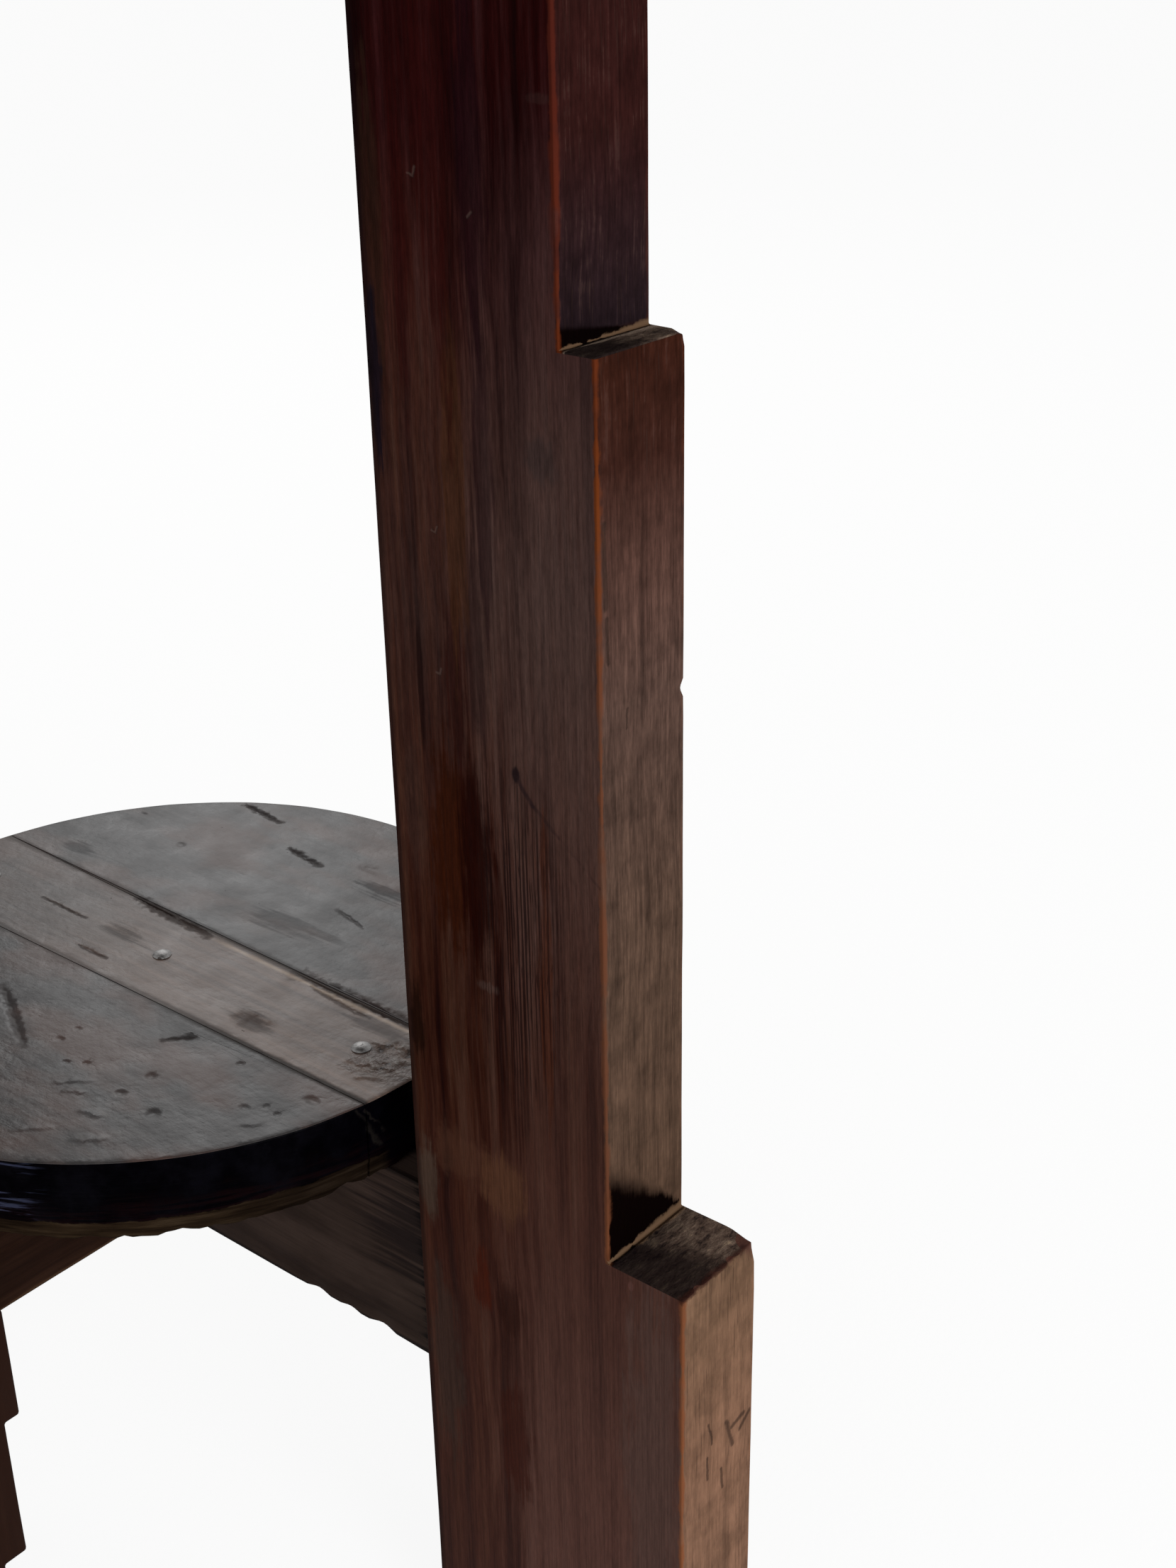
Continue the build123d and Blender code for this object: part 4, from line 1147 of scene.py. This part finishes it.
# Painted highlight: pale blue glints along the saw ridges, on one stretch of the edge only.
painted_ridge_highlight = eased(saw_lines, 0.52, 0.62) * (
    eased(ragged * 0.12 + spin, math.radians(-56), math.radians(-61)) *
    eased(spin, math.radians(-84), math.radians(-74)))
colour = mixed(painted_ridge_highlight * 0.8, colour, (0.03, 0.034, 0.062))
band_top = ragged * 0.0042 + (eased(spin, math.radians(-48), math.radians(-22)) * 0.0012 + 0.0066)
bare_band = eased(rise, band_top + 0.0005, band_top) * eased(
    abs(spin), math.radians(6.0), math.radians(8.5))
band_colour = graded(saw_lines, [
    (0.36, (0.008, 0.0046, 0.0028)), (0.52, (0.0185, 0.0112, 0.0062)), (0.66, (0.033, 0.0215, 0.0125))])
band_colour = tinted(band_colour, (0.5, 0.5, 0.55), eased(spin, math.radians(-42), math.radians(-20)))
colour = mixed(bare_band, colour, band_colour)
scratches = 0.0
scratch_place = aim("ADD", place, aim("SCALE", (0.004, 0.008, 0.006), ragged))
for start, end, high, low, width in (
        (-11.8, -8.0, 0.1995, 0.1840, 0.0013), (-10.2, -7.4, 0.1990, 0.1880, 0.0008)):
    start, end = math.radians(start), math.radians(end)
    scratch = use(scored_line, Vector=scratch_place, Width=width,
                  Start=(shelf_radius * math.cos(start), shelf_radius * math.sin(start), high),
                  End=(shelf_radius * math.cos(end), shelf_radius * math.sin(end), low))["Line"]
    scratches = calc("MAXIMUM", scratch, scratches)
colour = mixed(scratches * eased(mottle, 0.4, 0.6), colour, (0.0075, 0.0062, 0.0056))
gloss = mixed(bare_band, (0.3, 0.3, 0.3), (0.85, 0.85, 0.85))
polish = (1.0 - bare_band) * (eased(mottle, 0.42, 0.66) * 0.02)
relief = saw_lines * 0.5 + mottle * 0.5
relief = bare_band * -0.5 + relief
finish_with(shelf_edge, colour, gloss, relief, depth=0.001, specular=0.004, polish=polish)

# Rows of the boards' sides, from below: height, inset of the round edge, inset of the joints.
shelf_rows = ((0.0, 0.006, 0.0006), (0.0, 0.0017, 0.0004), (0.0012, 0.0009, 0.0), (0.004, 0.0006, 0.0),
              (0.0062, 0.0005, 0.0), (0.007, 0.0001, 0.0), (0.012, 0.0, 0.0), (0.018, 0.0, 0.0),
              (0.024, 0.0, -0.0002), (0.0271, 0.0001, -0.00034), (0.0277, 0.0004, -0.00034),
              (0.028, 0.001, -0.0002))
for board in ("shelf_front_board", "shelf_middle_strip", "shelf_back_board"):
    board_mesh = sawn_board(board, shelf_radius, shelf_rows, waver=0.00022, breakout=0.0026,
                            wear=(shelf_dents, shelf_grooves, torn_grain, 0.003))
    board_mesh.materials.append(shelf_face)
    board_mesh.materials.append(shelf_edge)
    fitted_piece(board, board_mesh, None, "base", [board])

# Three wrought nails hold the strip down on the rails. Their heads are hammered domes,
# rubbed pale, with spots of rust.
def solids_of(node):
    """The lowest and highest corner of each loose solid in a CAD node."""
    work = cad_shape(node)
    left = set(work.verts)
    boxes = []
    while left:
        reached = [left.pop()]
        solid = []
        while reached:
            vert = reached.pop()
            solid.append(vert.co.copy())
            for edge in vert.link_edges:
                other = edge.other_vert(vert)
                if other in left:
                    left.remove(other)
                    reached.append(other)
        low = Vector([min(point[axis] for point in solid) for axis in range(3)])
        high = Vector([max(point[axis] for point in solid) for axis in range(3)])
        boxes.append((low, high))
    work.free()
    return sorted(boxes, key=lambda box: tuple(box[0]))


def turned_mesh(name, profile, sides, uneven=0.0, crease=40):
    """A turned shape from radius and height pairs, from its top down; seat of the head at 0. A
    third value draws a ring out to a hexagon by a share."""
    work = bmesh.new()
    rings = []
    for radius, rise, *hexagon_share in profile:
        if radius < 1e-6:
            rings.append([work.verts.new((0, 0, rise))])
            continue
        ring = []
        for side in range(sides):
            angle = 2 * math.pi * side / sides
            beaten = noise.noise(Vector((math.cos(angle) * 2, math.sin(angle) * 2, 8))) + 1
            spread = radius * (1 - uneven * beaten)
            if hexagon_share:
                from_flat = math.radians(abs((math.degrees(angle) + 30) % 60 - 30))
                spread *= 1 + (1 / math.cos(from_flat) - 1) * hexagon_share[0]
            ring.append(work.verts.new((math.cos(angle) * spread, math.sin(angle) * spread, rise)))
        rings.append(ring)
    for upper, lower in zip(rings, rings[1:]):
        for side in range(sides):
            other = (side + 1) % sides
            if len(upper) == 1:
                work.faces.new((upper[0], lower[side], lower[other]))
            elif len(lower) == 1:
                work.faces.new((upper[side], lower[0], upper[other]))
            else:
                work.faces.new((upper[side], lower[side], lower[other], upper[other]))
    if profile[0] != profile[-1]:
        for end in (rings[0], rings[-1][::-1]):
            if len(end) > 1:
                work.faces.new(end)
    bmesh.ops.recalc_face_normals(work, faces=work.faces)
    mesh = finished_mesh(work, name)
    smoothed(mesh, crease)
    return mesh


fastener_set = bpy.data.node_groups.new("fastener_set", "GeometryNodeTree")
fastener_set.is_modifier = True
for socket_name, kind in (("Places", "Geometry"), ("Fastener", "Object"), ("Turn seed", "Int"),
                          ("Largest turn", "Float"), ("Finish", "Material")):
    fastener_set.interface.new_socket(socket_name, in_out="INPUT", socket_type="NodeSocket" + kind)
fastener_set.interface.new_socket("Fasteners", in_out="OUTPUT", socket_type="NodeSocketGeometry")
set_in = fastener_set.nodes.new("NodeGroupInput").outputs
set_out = fastener_set.nodes.new("NodeGroupOutput").inputs
set_shape = fastener_set.nodes.new("GeometryNodeObjectInfo")
set_outward = fastener_set.nodes.new("GeometryNodeInputNamedAttribute")
set_outward.data_type = "FLOAT_VECTOR"
set_outward.inputs["Name"].default_value = "outward"
set_stand = fastener_set.nodes.new("FunctionNodeAlignRotationToVector")
set_stand.axis = "Z"
set_chance = fastener_set.nodes.new("FunctionNodeRandomValue")
set_chance.data_type = "FLOAT"
set_twist = fastener_set.nodes.new("FunctionNodeAxisAngleToRotation")
set_turned = fastener_set.nodes.new("FunctionNodeRotateRotation")
set_turned.rotation_space = "LOCAL"
set_repeat = fastener_set.nodes.new("GeometryNodeInstanceOnPoints")
set_real = fastener_set.nodes.new("GeometryNodeRealizeInstances")
set_finish = fastener_set.nodes.new("GeometryNodeSetMaterial")
for source, target in (
        (set_in["Fastener"], set_shape.inputs["Object"]),
        (set_outward.outputs[0], set_stand.inputs["Vector"]),
        (set_in["Largest turn"], set_chance.inputs[3]),
        (set_in["Turn seed"], set_chance.inputs["Seed"]),
        (set_chance.outputs[1], set_twist.inputs["Angle"]),
        (set_stand.outputs[0], set_turned.inputs["Rotation"]),
        (set_twist.outputs[0], set_turned.inputs["Rotate By"]),
        (set_in["Places"], set_repeat.inputs["Points"]),
        (set_shape.outputs["Geometry"], set_repeat.inputs["Instance"]),
        (set_turned.outputs[0], set_repeat.inputs["Rotation"]),
        (set_repeat.outputs[0], set_real.inputs[0]),
        (set_real.outputs[0], set_finish.inputs["Geometry"]),
        (set_in["Finish"], set_finish.inputs["Material"]),
        (set_finish.outputs[0], set_out["Fasteners"])):
    fastener_set.links.new(source, target)


def fasten(name, template, places, seed, largest_turn, finish, body, nodes):
    """Repeats a fastener at each place and its outward direction, as one plain piece."""
    shape = bpy.data.objects.new(name + "_shape", template)
    bpy.context.collection.objects.link(shape)
    points = bpy.data.meshes.new(name + "_places")
    points.from_pydata([tuple(place) for place, outward in places], [], [])
    directions = points.attributes.new("outward", "FLOAT_VECTOR", "POINT")
    for entry, (place, outward) in zip(directions.data, places):
        entry.vector = outward
    carrier = bpy.data.objects.new(name + "_places", points)
    bpy.context.collection.objects.link(carrier)
    repeat = carrier.modifiers.new("fasteners", "NODES")
    repeat.node_group = fastener_set
    values = {"Fastener": shape, "Turn seed": seed, "Largest turn": largest_turn, "Finish": finish}
    for item in fastener_set.interface.items_tree:
        if item.in_out == "INPUT" and item.name in values:
            repeat[item.identifier] = values[item.name]
    bpy.context.view_layer.update()
    mesh = bpy.data.meshes.new_from_object(carrier.evaluated_get(bpy.context.evaluated_depsgraph_get()))
    carrier.modifiers.remove(repeat)
    bpy.data.objects.remove(carrier)
    bpy.data.objects.remove(shape)
    mesh.name = name
    piece = bpy.data.objects.new(name, mesh)
    bpy.context.collection.objects.link(piece)
    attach(piece, body)
    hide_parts(*nodes)
    return piece


def iron_finish(name, dark, bright, rust, rust_share, roughness):
    """Old iron: mottled skin, with rust that spreads from the hollows."""
    material, place = new_finish(name)
    skin = clouds(place, 900, 5.0, 0.62)
    spread = clouds(place, 240, 4.0, 0.6)
    rusted = eased(spread, 1 - rust_share, 1.12 - rust_share)
    colour = graded(skin, [(0.32, dark), (0.62, bright)])
    colour = mixed(rusted, colour, rust)
    gloss = graded(skin, [(0.3, roughness - 0.1), (0.7, roughness + 0.12)])
    gloss = mixed(rusted, gloss, (0.9, 0.9, 0.9))
    feed(material.node_tree.nodes["Principled BSDF"].inputs["Metallic"], rusted * -0.85 + 0.9)
    finish_with(material, colour, gloss, skin + rusted, depth=0.00012, specular=0.5)
    return material


nail_head_height = 0.0012
nail_solids = solids_of("shelf_nails")
nail_radius = (nail_solids[0][1].x - nail_solids[0][0].x) / 2
nail_length = nail_solids[0][1].z - nail_solids[0][0].z - nail_head_height
nail_shank = 0.0016
nail_profile = [
    (0, nail_head_height), (nail_radius * 0.35, nail_head_height * 0.97),
    (nail_radius * 0.66, nail_head_height * 0.8), (nail_radius * 0.88, nail_head_height * 0.48),
    (nail_radius, nail_head_height * 0.1), (nail_radius * 0.98, 0), (nail_shank, 0),
    (nail_shank, -nail_length * 0.86), (nail_shank * 0.3, -nail_length * 0.98), (0, -nail_length)]
nail_shape = turned_mesh("nail", nail_profile, sides=28, uneven=0.06)
nail_iron = iron_finish("rubbed_nail", dark=(0.13, 0.125, 0.122), bright=(0.25, 0.243, 0.238),
                        rust=(0.03, 0.02, 0.015), rust_share=0.42, roughness=0.42)
nail_places = [
    (((low + high) / 2).xy.to_3d() + Vector((0, 0, high.z - nail_head_height)), (0, 0, 1))
    for low, high in nail_solids]
fasten("shelf_nails", nail_shape, nail_places, seed=11, largest_turn=6.28, finish=nail_iron,
       body="base", nodes=["shelf_nails"])

# Slotted screws come up through the cross rail into the half-moon boards, their heads sunk in
# round pockets under the rail. They are plain dark iron.
def slotted_screw(name, head_radius, head_height, shank_radius, length, slot_width, slot_depth):
    """A pan-headed screw with its slot cut across the head and a thread on its lower half."""
    profile = [
        (0, head_height), (head_radius * 0.55, head_height * 0.985),
        (head_radius * 0.82, head_height * 0.86), (head_radius * 0.96, head_height * 0.55),
        (head_radius, head_height * 0.22), (head_radius, 0), (shank_radius, 0),
        (shank_radius, -length * 0.4)]
    turns = 14
    for turn in range(turns):
        top = -length * (0.40 + 0.52 * turn / turns)
        pitch = length * 0.52 / turns
        profile += [(shank_radius * 0.80, top - pitch * 0.30), (shank_radius, top - pitch * 0.75),
                    (shank_radius, top - pitch)]
    profile += [(shank_radius * 0.55, -length * 0.96), (0, -length)]
    mesh = turned_mesh(name, profile, sides=32)
    screw = bpy.data.objects.new(name, mesh)
    bpy.context.collection.objects.link(screw)
    bpy.ops.mesh.primitive_cube_add(size=1, location=(0, 0, head_height))
    blade = bpy.context.object
    blade.scale = (head_radius * 2.4, slot_width, slot_depth * 2)
    cut = screw.modifiers.new("slot", "BOOLEAN")
    cut.operation = "DIFFERENCE"
    cut.object = blade
    bpy.context.view_layer.update()
    slotted = bpy.data.meshes.new_from_object(screw.evaluated_get(bpy.context.evaluated_depsgraph_get()))
    bpy.data.objects.remove(screw)
    bpy.data.objects.remove(blade)
    slotted.set_sharp_from_angle(angle=math.radians(40))
    return slotted


wood_screw_head = 0.0030


def seats_below(node):
    """The seats of wood screws that are driven upwards, and the way their heads look."""
    seats = []
    for low, high in solids_of(node):
        seat = ((low + high) / 2).xy.to_3d() + Vector((0, 0, low.z + wood_screw_head))
        seats.append((seat, (0, 0, -1)))
    return seats


dark_iron = iron_finish("dark_iron", dark=(0.03, 0.029, 0.03), bright=(0.085, 0.082, 0.08),
                        rust=(0.055, 0.026, 0.014), rust_share=0.4, roughness=0.5)
shelf_screw_solids = solids_of("shelf_screws")
wood_screw_radius = (shelf_screw_solids[0][1].x - shelf_screw_solids[0][0].x) / 2
wood_screw_length = shelf_screw_solids[0][1].z - shelf_screw_solids[0][0].z - wood_screw_head
wood_screw = slotted_screw("wood_screw", wood_screw_radius, wood_screw_head, shank_radius=0.0025,
                           length=wood_screw_length, slot_width=0.0013, slot_depth=0.0014)
fasten("shelf_screws", wood_screw, seats_below("shelf_screws"), seed=5, largest_turn=3.14,
       finish=dark_iron, body="base", nodes=["shelf_screws"])

# The top is four boards laid side by side, doweled along their joints, sawn to a round and
# softened along the edge. It is stained and waxed like the standards, and worn at the rim.
top_solid_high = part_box("top_board_2")[1]
top_low_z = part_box("top_board_2")[0].z
top_radius = max(corner.co.to_2d().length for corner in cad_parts["top_board_2"].data.vertices)
top_boards = ("top_board_1", "top_board_2", "top_board_3", "top_board_4")
board_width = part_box("top_board_3")[1].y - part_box("top_board_3")[0].y

# Stain: each board has its own grain and tone, the rim is rubbed bare, the underside left dull.
top_finish, place = new_finish("waxed_top")
place_x, place_y, place_z = split(place)
board_count = calc("FLOOR", place_y / board_width)
board_shift = joined(board_count * 1.7, 0.0, board_count * 0.37)
along = swung(aim("ADD", place, board_shift), grain_along_x)
grain = use(straight_grain, Vector=along, Across=260.0, Along=6.0)
mottle = clouds(aim("MULTIPLY", place, (0.3, 1.0, 1.0)), 34, 5.0, 0.62)
streaks = grain["Broad"] * 0.35 + grain["Fine"] * 0.65
colour = graded(streaks, [
    (0.34, (0.0105, 0.0034, 0.0029)), (0.45, (0.03, 0.0088, 0.0058)), (0.56, (0.052, 0.0175, 0.0105)),
    (0.66, (0.082, 0.034, 0.0205))])
board_tone = calc("FRACT", board_count * 0.618 + 0.3)
colour = tinted(colour, graded(board_tone, [(0.0, 0.78), (1.0, 1.22)]))
colour = tinted(colour, graded(mottle, [(0.34, 0.62), (0.5, 1.0), (0.66, 1.26)]), 0.7)
colour = mixed(grain["Pores"] * 0.45, colour, (0.008, 0.003, 0.0028))
from_axis = aim("LENGTH", aim("MULTIPLY", place, (1.0, 1.0, 0.0)))
from_rim = top_radius - from_axis
rim_arris = calc("MAXIMUM", from_rim, top_solid_high.z - place_z)
bare = use(worn_arris, Breaks=mottle, Distance=rim_arris, Width=0.0036)["Wear"]
colour = mixed(bare * 0.75, colour, (0.15, 0.052, 0.019))
underneath = eased(place_z, top_low_z + 0.0016, top_low_z + 0.0004)
colour = mixed(underneath * 0.75, colour, (0.026, 0.015, 0.0105))
joint_dirt = eased(abs(calc("PINGPONG", place_y, board_width)), 0.0016, 0.0002)
colour = mixed(joint_dirt * 0.8, colour, (0.006, 0.004, 0.0038))
gloss = graded(mottle, [(0.32, 0.34), (0.66, 0.52)])
gloss = mixed(underneath, gloss, (0.8, 0.8, 0.8))
polish = (1.0 - underneath) * graded(mottle, [(0.34, 0.3), (0.62, 0.55)])
relief = grain["Fine"] * 0.16
relief = mottle * 0.5 + relief
finish_with(top_finish, colour, gloss, relief, depth=0.001, specular=0.05, polish=polish)

# Rows of the boards' sides, from below: height, inset of the round edge, inset of the joints.
top_rows = ((0.0, 0.0022, 0.0004), (0.0006, 0.0008, 0.0001), (0.0022, 0.0, 0.0), (0.0075, 0.0, 0.0),
            (0.0130, 0.0, 0.0), (0.0190, 0.0, 0.0), (0.0214, 0.0004, 0.0), (0.0230, 0.0013, 0.0001),
            (0.0237, 0.0023, 0.0003), (0.0240, 0.0038, 0.0007))

# Dents: place, reach and depth. Grooves: start, end, width and depth.
top_dents = (
    ((0.060, -0.190), (0.0040, 0.0034), 0.00045), ((-0.120, -0.110), (0.0030, 0.0030), 0.00040),
    ((0.170, 0.040), (0.0050, 0.0036), 0.00050), ((-0.040, 0.070), (0.0034, 0.0030), 0.00040),
    ((0.095, 0.205), (0.0044, 0.0032), 0.00045), ((-0.190, 0.125), (0.0036, 0.0036), 0.00045),
    ((0.225, -0.090), (0.0042, 0.0030), 0.00040), ((-0.230, -0.030), (0.0034, 0.0028), 0.00040),
    ((0.020, -0.050), (0.0030, 0.0026), 0.00035), ((-0.085, -0.225), (0.0046, 0.0032), 0.00045))
top_grooves = (((-0.15, 0.02), (-0.09, 0.034), 0.0016, 0.00035),
               ((0.05, -0.118), (0.12, -0.106), 0.0018, 0.0004),
               ((0.11, 0.105), (0.146, 0.128), 0.0014, 0.0003),
               ((-0.06, -0.178), (-0.012, -0.184), 0.0016, 0.00035),
               ((-0.02, 0.232), (0.04, 0.226), 0.0018, 0.0004))
for board in top_boards:
    board_mesh = sawn_board(board, top_radius, top_rows, waver=0.00015, breakout=0.0,
                            wear=(top_dents, top_grooves, (), 0.01))
    board_mesh.materials.append(top_finish)
    board_mesh.materials.append(top_finish)
    fitted_piece(board, board_mesh, None, "top", [board])

# Dowels cross the joints between the boards of the top. They are turned from pale wood, with
# flutes that let the glue out and a chamfer at each end.
dowel_solids = solids_of("top_dowels")
dowel_radius = (dowel_solids[0][1].x - dowel_solids[0][0].x) / 2
dowel_half = (dowel_solids[0][1].y - dowel_solids[0][0].y) / 2
dowel_chamfer = 0.0015
flute_depth = 0.95
dowel_profile = [
    (0, dowel_half), (dowel_radius * 0.72, dowel_half), (dowel_radius, dowel_half - dowel_chamfer),
    (dowel_radius, 0), (dowel_radius, dowel_chamfer - dowel_half), (dowel_radius * 0.72, -dowel_half),
    (0, -dowel_half)]
dowel_shape = turned_mesh("dowel", dowel_profile, sides=32)
for vert in dowel_shape.vertices:
    if abs(vert.co.z) < dowel_half - 0.0001 and vert.index % 2:
        vert.co.x *= flute_depth
        vert.co.y *= flute_depth
pale_tones = ((0.18, 0.11, 0.055), (0.3, 0.195, 0.105), (0.4, 0.28, 0.16))
dowel_finish = plank_finish("pale_dowel", grain_along_y, [((-1, -1, -1), (1, 1, 1))], pale_tones,
                            bare_colour=(0.4, 0.28, 0.16), bare_width=0.0005, specular=0.3,
                            polish_share=0.0)
dowel_places = [((low + high) / 2, (0, 1, 0)) for low, high in dowel_solids]
fasten("top_dowels", dowel_shape, dowel_places, seed=7, largest_turn=6.28, finish=dowel_finish,
       body="top", nodes=["top_dowels"])

# Two cleats run across under the top, just outside the standards. They hold its boards
# together, carry the pivots, and thin out towards their ends.
cleat_tones = ((0.0085, 0.0036, 0.0028), (0.0240, 0.0098, 0.0066), (0.0420, 0.0185, 0.0120))
for cleat in ("cleat_right", "cleat_left"):
    cleat_low, cleat_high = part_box(cleat)
    cleat_finish = plank_finish("stained_" + cleat, grain_along_y, [(cleat_low, cleat_high)],
                                cleat_tones, bare_colour=(0.13, 0.046, 0.018), bare_width=0.0014,
                                specular=0.04, polish_share=0.25)
    cleat_mesh = planed_mesh(cleat, arris=0.0013, spacing=0.012, wave=0.0001)
    fitted_piece(cleat, cleat_mesh, cleat_finish, "top", [cleat])

# Slotted screws go up through each cleat into every board of the top, heads sunk in pockets.
# They are the same dark iron screws as under the shelf.
fasten("cleat_screws", wood_screw, seats_below("cleat_screws"), seed=23, largest_turn=3.14,
       finish=dark_iron, body="top", nodes=["cleat_screws"])

# The top turns on two coach screws, one through each cleat into its standard. The heads are
# forged hexagons with a rounded crown, in mottled dark iron.
pivot_solids = solids_of("pivot_screws")
pivot_low, pivot_high = pivot_solids[-1]
pivot_flats = pivot_high.y - pivot_low.y
pivot_point = (pivot_low + pivot_high) / 2
pivot_seat = max(corner.co.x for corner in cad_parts["pivot_washers"].data.vertices)
pivot_head = pivot_high.x - pivot_seat
pivot_reach = pivot_seat - pivot_low.x
pivot_shank = 0.005
pivot_profile = [
    (pivot_flats * 0.30, pivot_head, 0.0), (pivot_flats * 0.44, pivot_head * 0.97, 0.05),
    (pivot_flats * 0.5, pivot_head * 0.88, 0.45), (pivot_flats * 0.5, pivot_head * 0.80, 1.0),
    (pivot_flats * 0.5, pivot_head * 0.10, 1.0), (pivot_flats * 0.49, 0.0, 0.6),
    (pivot_shank, 0.0, 0.0), (pivot_shank, -pivot_reach * 0.55, 0.0),
    (pivot_shank * 0.9, -pivot_reach * 0.6, 0.0), (pivot_shank * 0.9, -pivot_reach * 0.94, 0.0),
    (pivot_shank * 0.4, -pivot_reach, 0.0)]
pivot_shape = turned_mesh("coach_screw", pivot_profile, sides=48, crease=24)
forged_iron = iron_finish("forged_iron", dark=(0.035, 0.033, 0.033), bright=(0.13, 0.125, 0.12),
                          rust=(0.065, 0.03, 0.016), rust_share=0.38, roughness=0.46)
pivot_places = [
    (Vector((side * pivot_seat, pivot_point.y, pivot_point.z)), (side, 0, 0)) for side in (1, -1)]
fasten("pivot_screws", pivot_shape, pivot_places, seed=3, largest_turn=0.0, finish=forged_iron,
       body="base", nodes=["pivot_screws"])

# Washers keep each cleat off its standard and off the screw's head. They are stamped from
# sheet iron, slightly rounded on the outer edge.
washer_solids = solids_of("pivot_washers")
washer_half = (washer_solids[0][1].x - washer_solids[0][0].x) / 2
washer_outer = (washer_solids[0][1].z - washer_solids[0][0].z) / 2
washer_bore = pivot_shank + 0.0001
washer_profile = [
    (washer_bore, washer_half), (washer_outer - 0.0006, washer_half),
    (washer_outer - 0.0001, washer_half * 0.55), (washer_outer, 0),
    (washer_outer - 0.0001, -washer_half * 0.55), (washer_outer - 0.0006, -washer_half),
    (washer_bore, -washer_half), (washer_bore, washer_half)]
washer_shape = turned_mesh("pivot_washer", washer_profile, sides=48)
washer_places = [((low + high) / 2, (1, 0, 0)) for low, high in washer_solids]
fasten("pivot_washers", washer_shape, washer_places, seed=9, largest_turn=6.28, finish=forged_iron,
       body="base", nodes=["pivot_washers"])

# The keeper is a bent iron angle on the back of the upper rail. Its ledge is what the turn
# button goes under to hold the top level, and two small slotted screws fix it to the rail.
keeper_mesh = planed_mesh("latch_keeper", arris=0.0005, spacing=0.01, wave=0.00004)
fitted_piece("latch_keeper", keeper_mesh, dark_iron, "base", ["latch_keeper"])
keeper_screw_head = 0.0022
keeper_screw_solids = solids_of("keeper_screws")
keeper_screw_radius = (keeper_screw_solids[0][1].x - keeper_screw_solids[0][0].x) / 2
keeper_screw_length = keeper_screw_solids[0][1].y - keeper_screw_solids[0][0].y - keeper_screw_head
keeper_screw = slotted_screw("keeper_screw", keeper_screw_radius, keeper_screw_head, shank_radius=0.002,
                             length=keeper_screw_length, slot_width=0.0011, slot_depth=0.0011)
keeper_screw_places = [
    (Vector(((low.x + high.x) / 2, high.y - keeper_screw_head, (low.z + high.z) / 2)), (0, 1, 0))
    for low, high in keeper_screw_solids]
fasten("keeper_screws", keeper_screw, keeper_screw_places, seed=31, largest_turn=3.14, finish=dark_iron,
       body="base", nodes=["keeper_screws"])

# The turn button is a small block with a rounded tail. It hangs under a turned boss on one
# screw with a washer, and swings on it.
boss_low, boss_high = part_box("latch_boss")
button_low, button_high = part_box("latch_button")
boss_finish = plank_finish("stained_boss", grain_along_y, [(boss_low, boss_high)], cleat_tones,
                           bare_colour=(0.09, 0.034, 0.014), bare_width=0.001, specular=0.04,
                           polish_share=0.25)
button_finish = plank_finish("rubbed_button", grain_along_x, [(button_low, button_high)], cleat_tones,
                             bare_colour=(0.17, 0.062, 0.024), bare_width=0.0022, specular=0.04,
                             polish_share=0.4)
boss_mesh = planed_mesh("latch_boss", arris=0.0008, spacing=0.006, wave=0.00005)
fitted_piece("latch_boss", boss_mesh, boss_finish, "top", ["latch_boss"])
button_mesh = planed_mesh("latch_button", arris=0.0012, spacing=0.006, wave=0.00005)
fitted_piece("latch_button", button_mesh, button_finish, "button", ["latch_button"])

# One slotted iron screw goes up through a washer, the button and the boss. The washer is
# stamped like those at the pivots, and the screw is driven like those under the shelf.
latch_washer_low, latch_washer_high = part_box("latch_washer")
latch_washer_half = (latch_washer_high.z - latch_washer_low.z) / 2
latch_washer_outer = (latch_washer_high.x - latch_washer_low.x) / 2
latch_washer_bore = 0.0026
latch_washer_profile = [
    (latch_washer_bore, latch_washer_half), (latch_washer_outer - 0.0004, latch_washer_half),
    (latch_washer_outer, latch_washer_half * 0.3), (latch_washer_outer, -latch_washer_half * 0.3),
    (latch_washer_outer - 0.0004, -latch_washer_half), (latch_washer_bore, -latch_washer_half),
    (latch_washer_bore, latch_washer_half)]
latch_washer_shape = turned_mesh("latch_washer_ring", latch_washer_profile, sides=40)
latch_washer_place = ((latch_washer_low + latch_washer_high) / 2, (0, 0, 1))
fasten("latch_washer", latch_washer_shape, [latch_washer_place], seed=2, largest_turn=6.28,
       finish=forged_iron, body="top", nodes=["latch_washer"])
latch_screw_low, latch_screw_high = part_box("latch_screw")
latch_screw_radius = (latch_screw_high.x - latch_screw_low.x) / 2
latch_screw_length = latch_screw_high.z - latch_screw_low.z - wood_screw_head
latch_screw_y = (latch_screw_low.y + latch_screw_high.y) / 2
latch_screw = slotted_screw("latch_screw_shape", latch_screw_radius, wood_screw_head, shank_radius=0.0025,
                            length=latch_screw_length, slot_width=0.0013, slot_depth=0.0014)
latch_screw_place = (Vector((0, latch_screw_y, latch_screw_low.z + wood_screw_head)), (0, 0, -1))
fasten("latch_screw", latch_screw, [latch_screw_place], seed=4, largest_turn=3.14, finish=dark_iron,
       body="top", nodes=["latch_screw"])
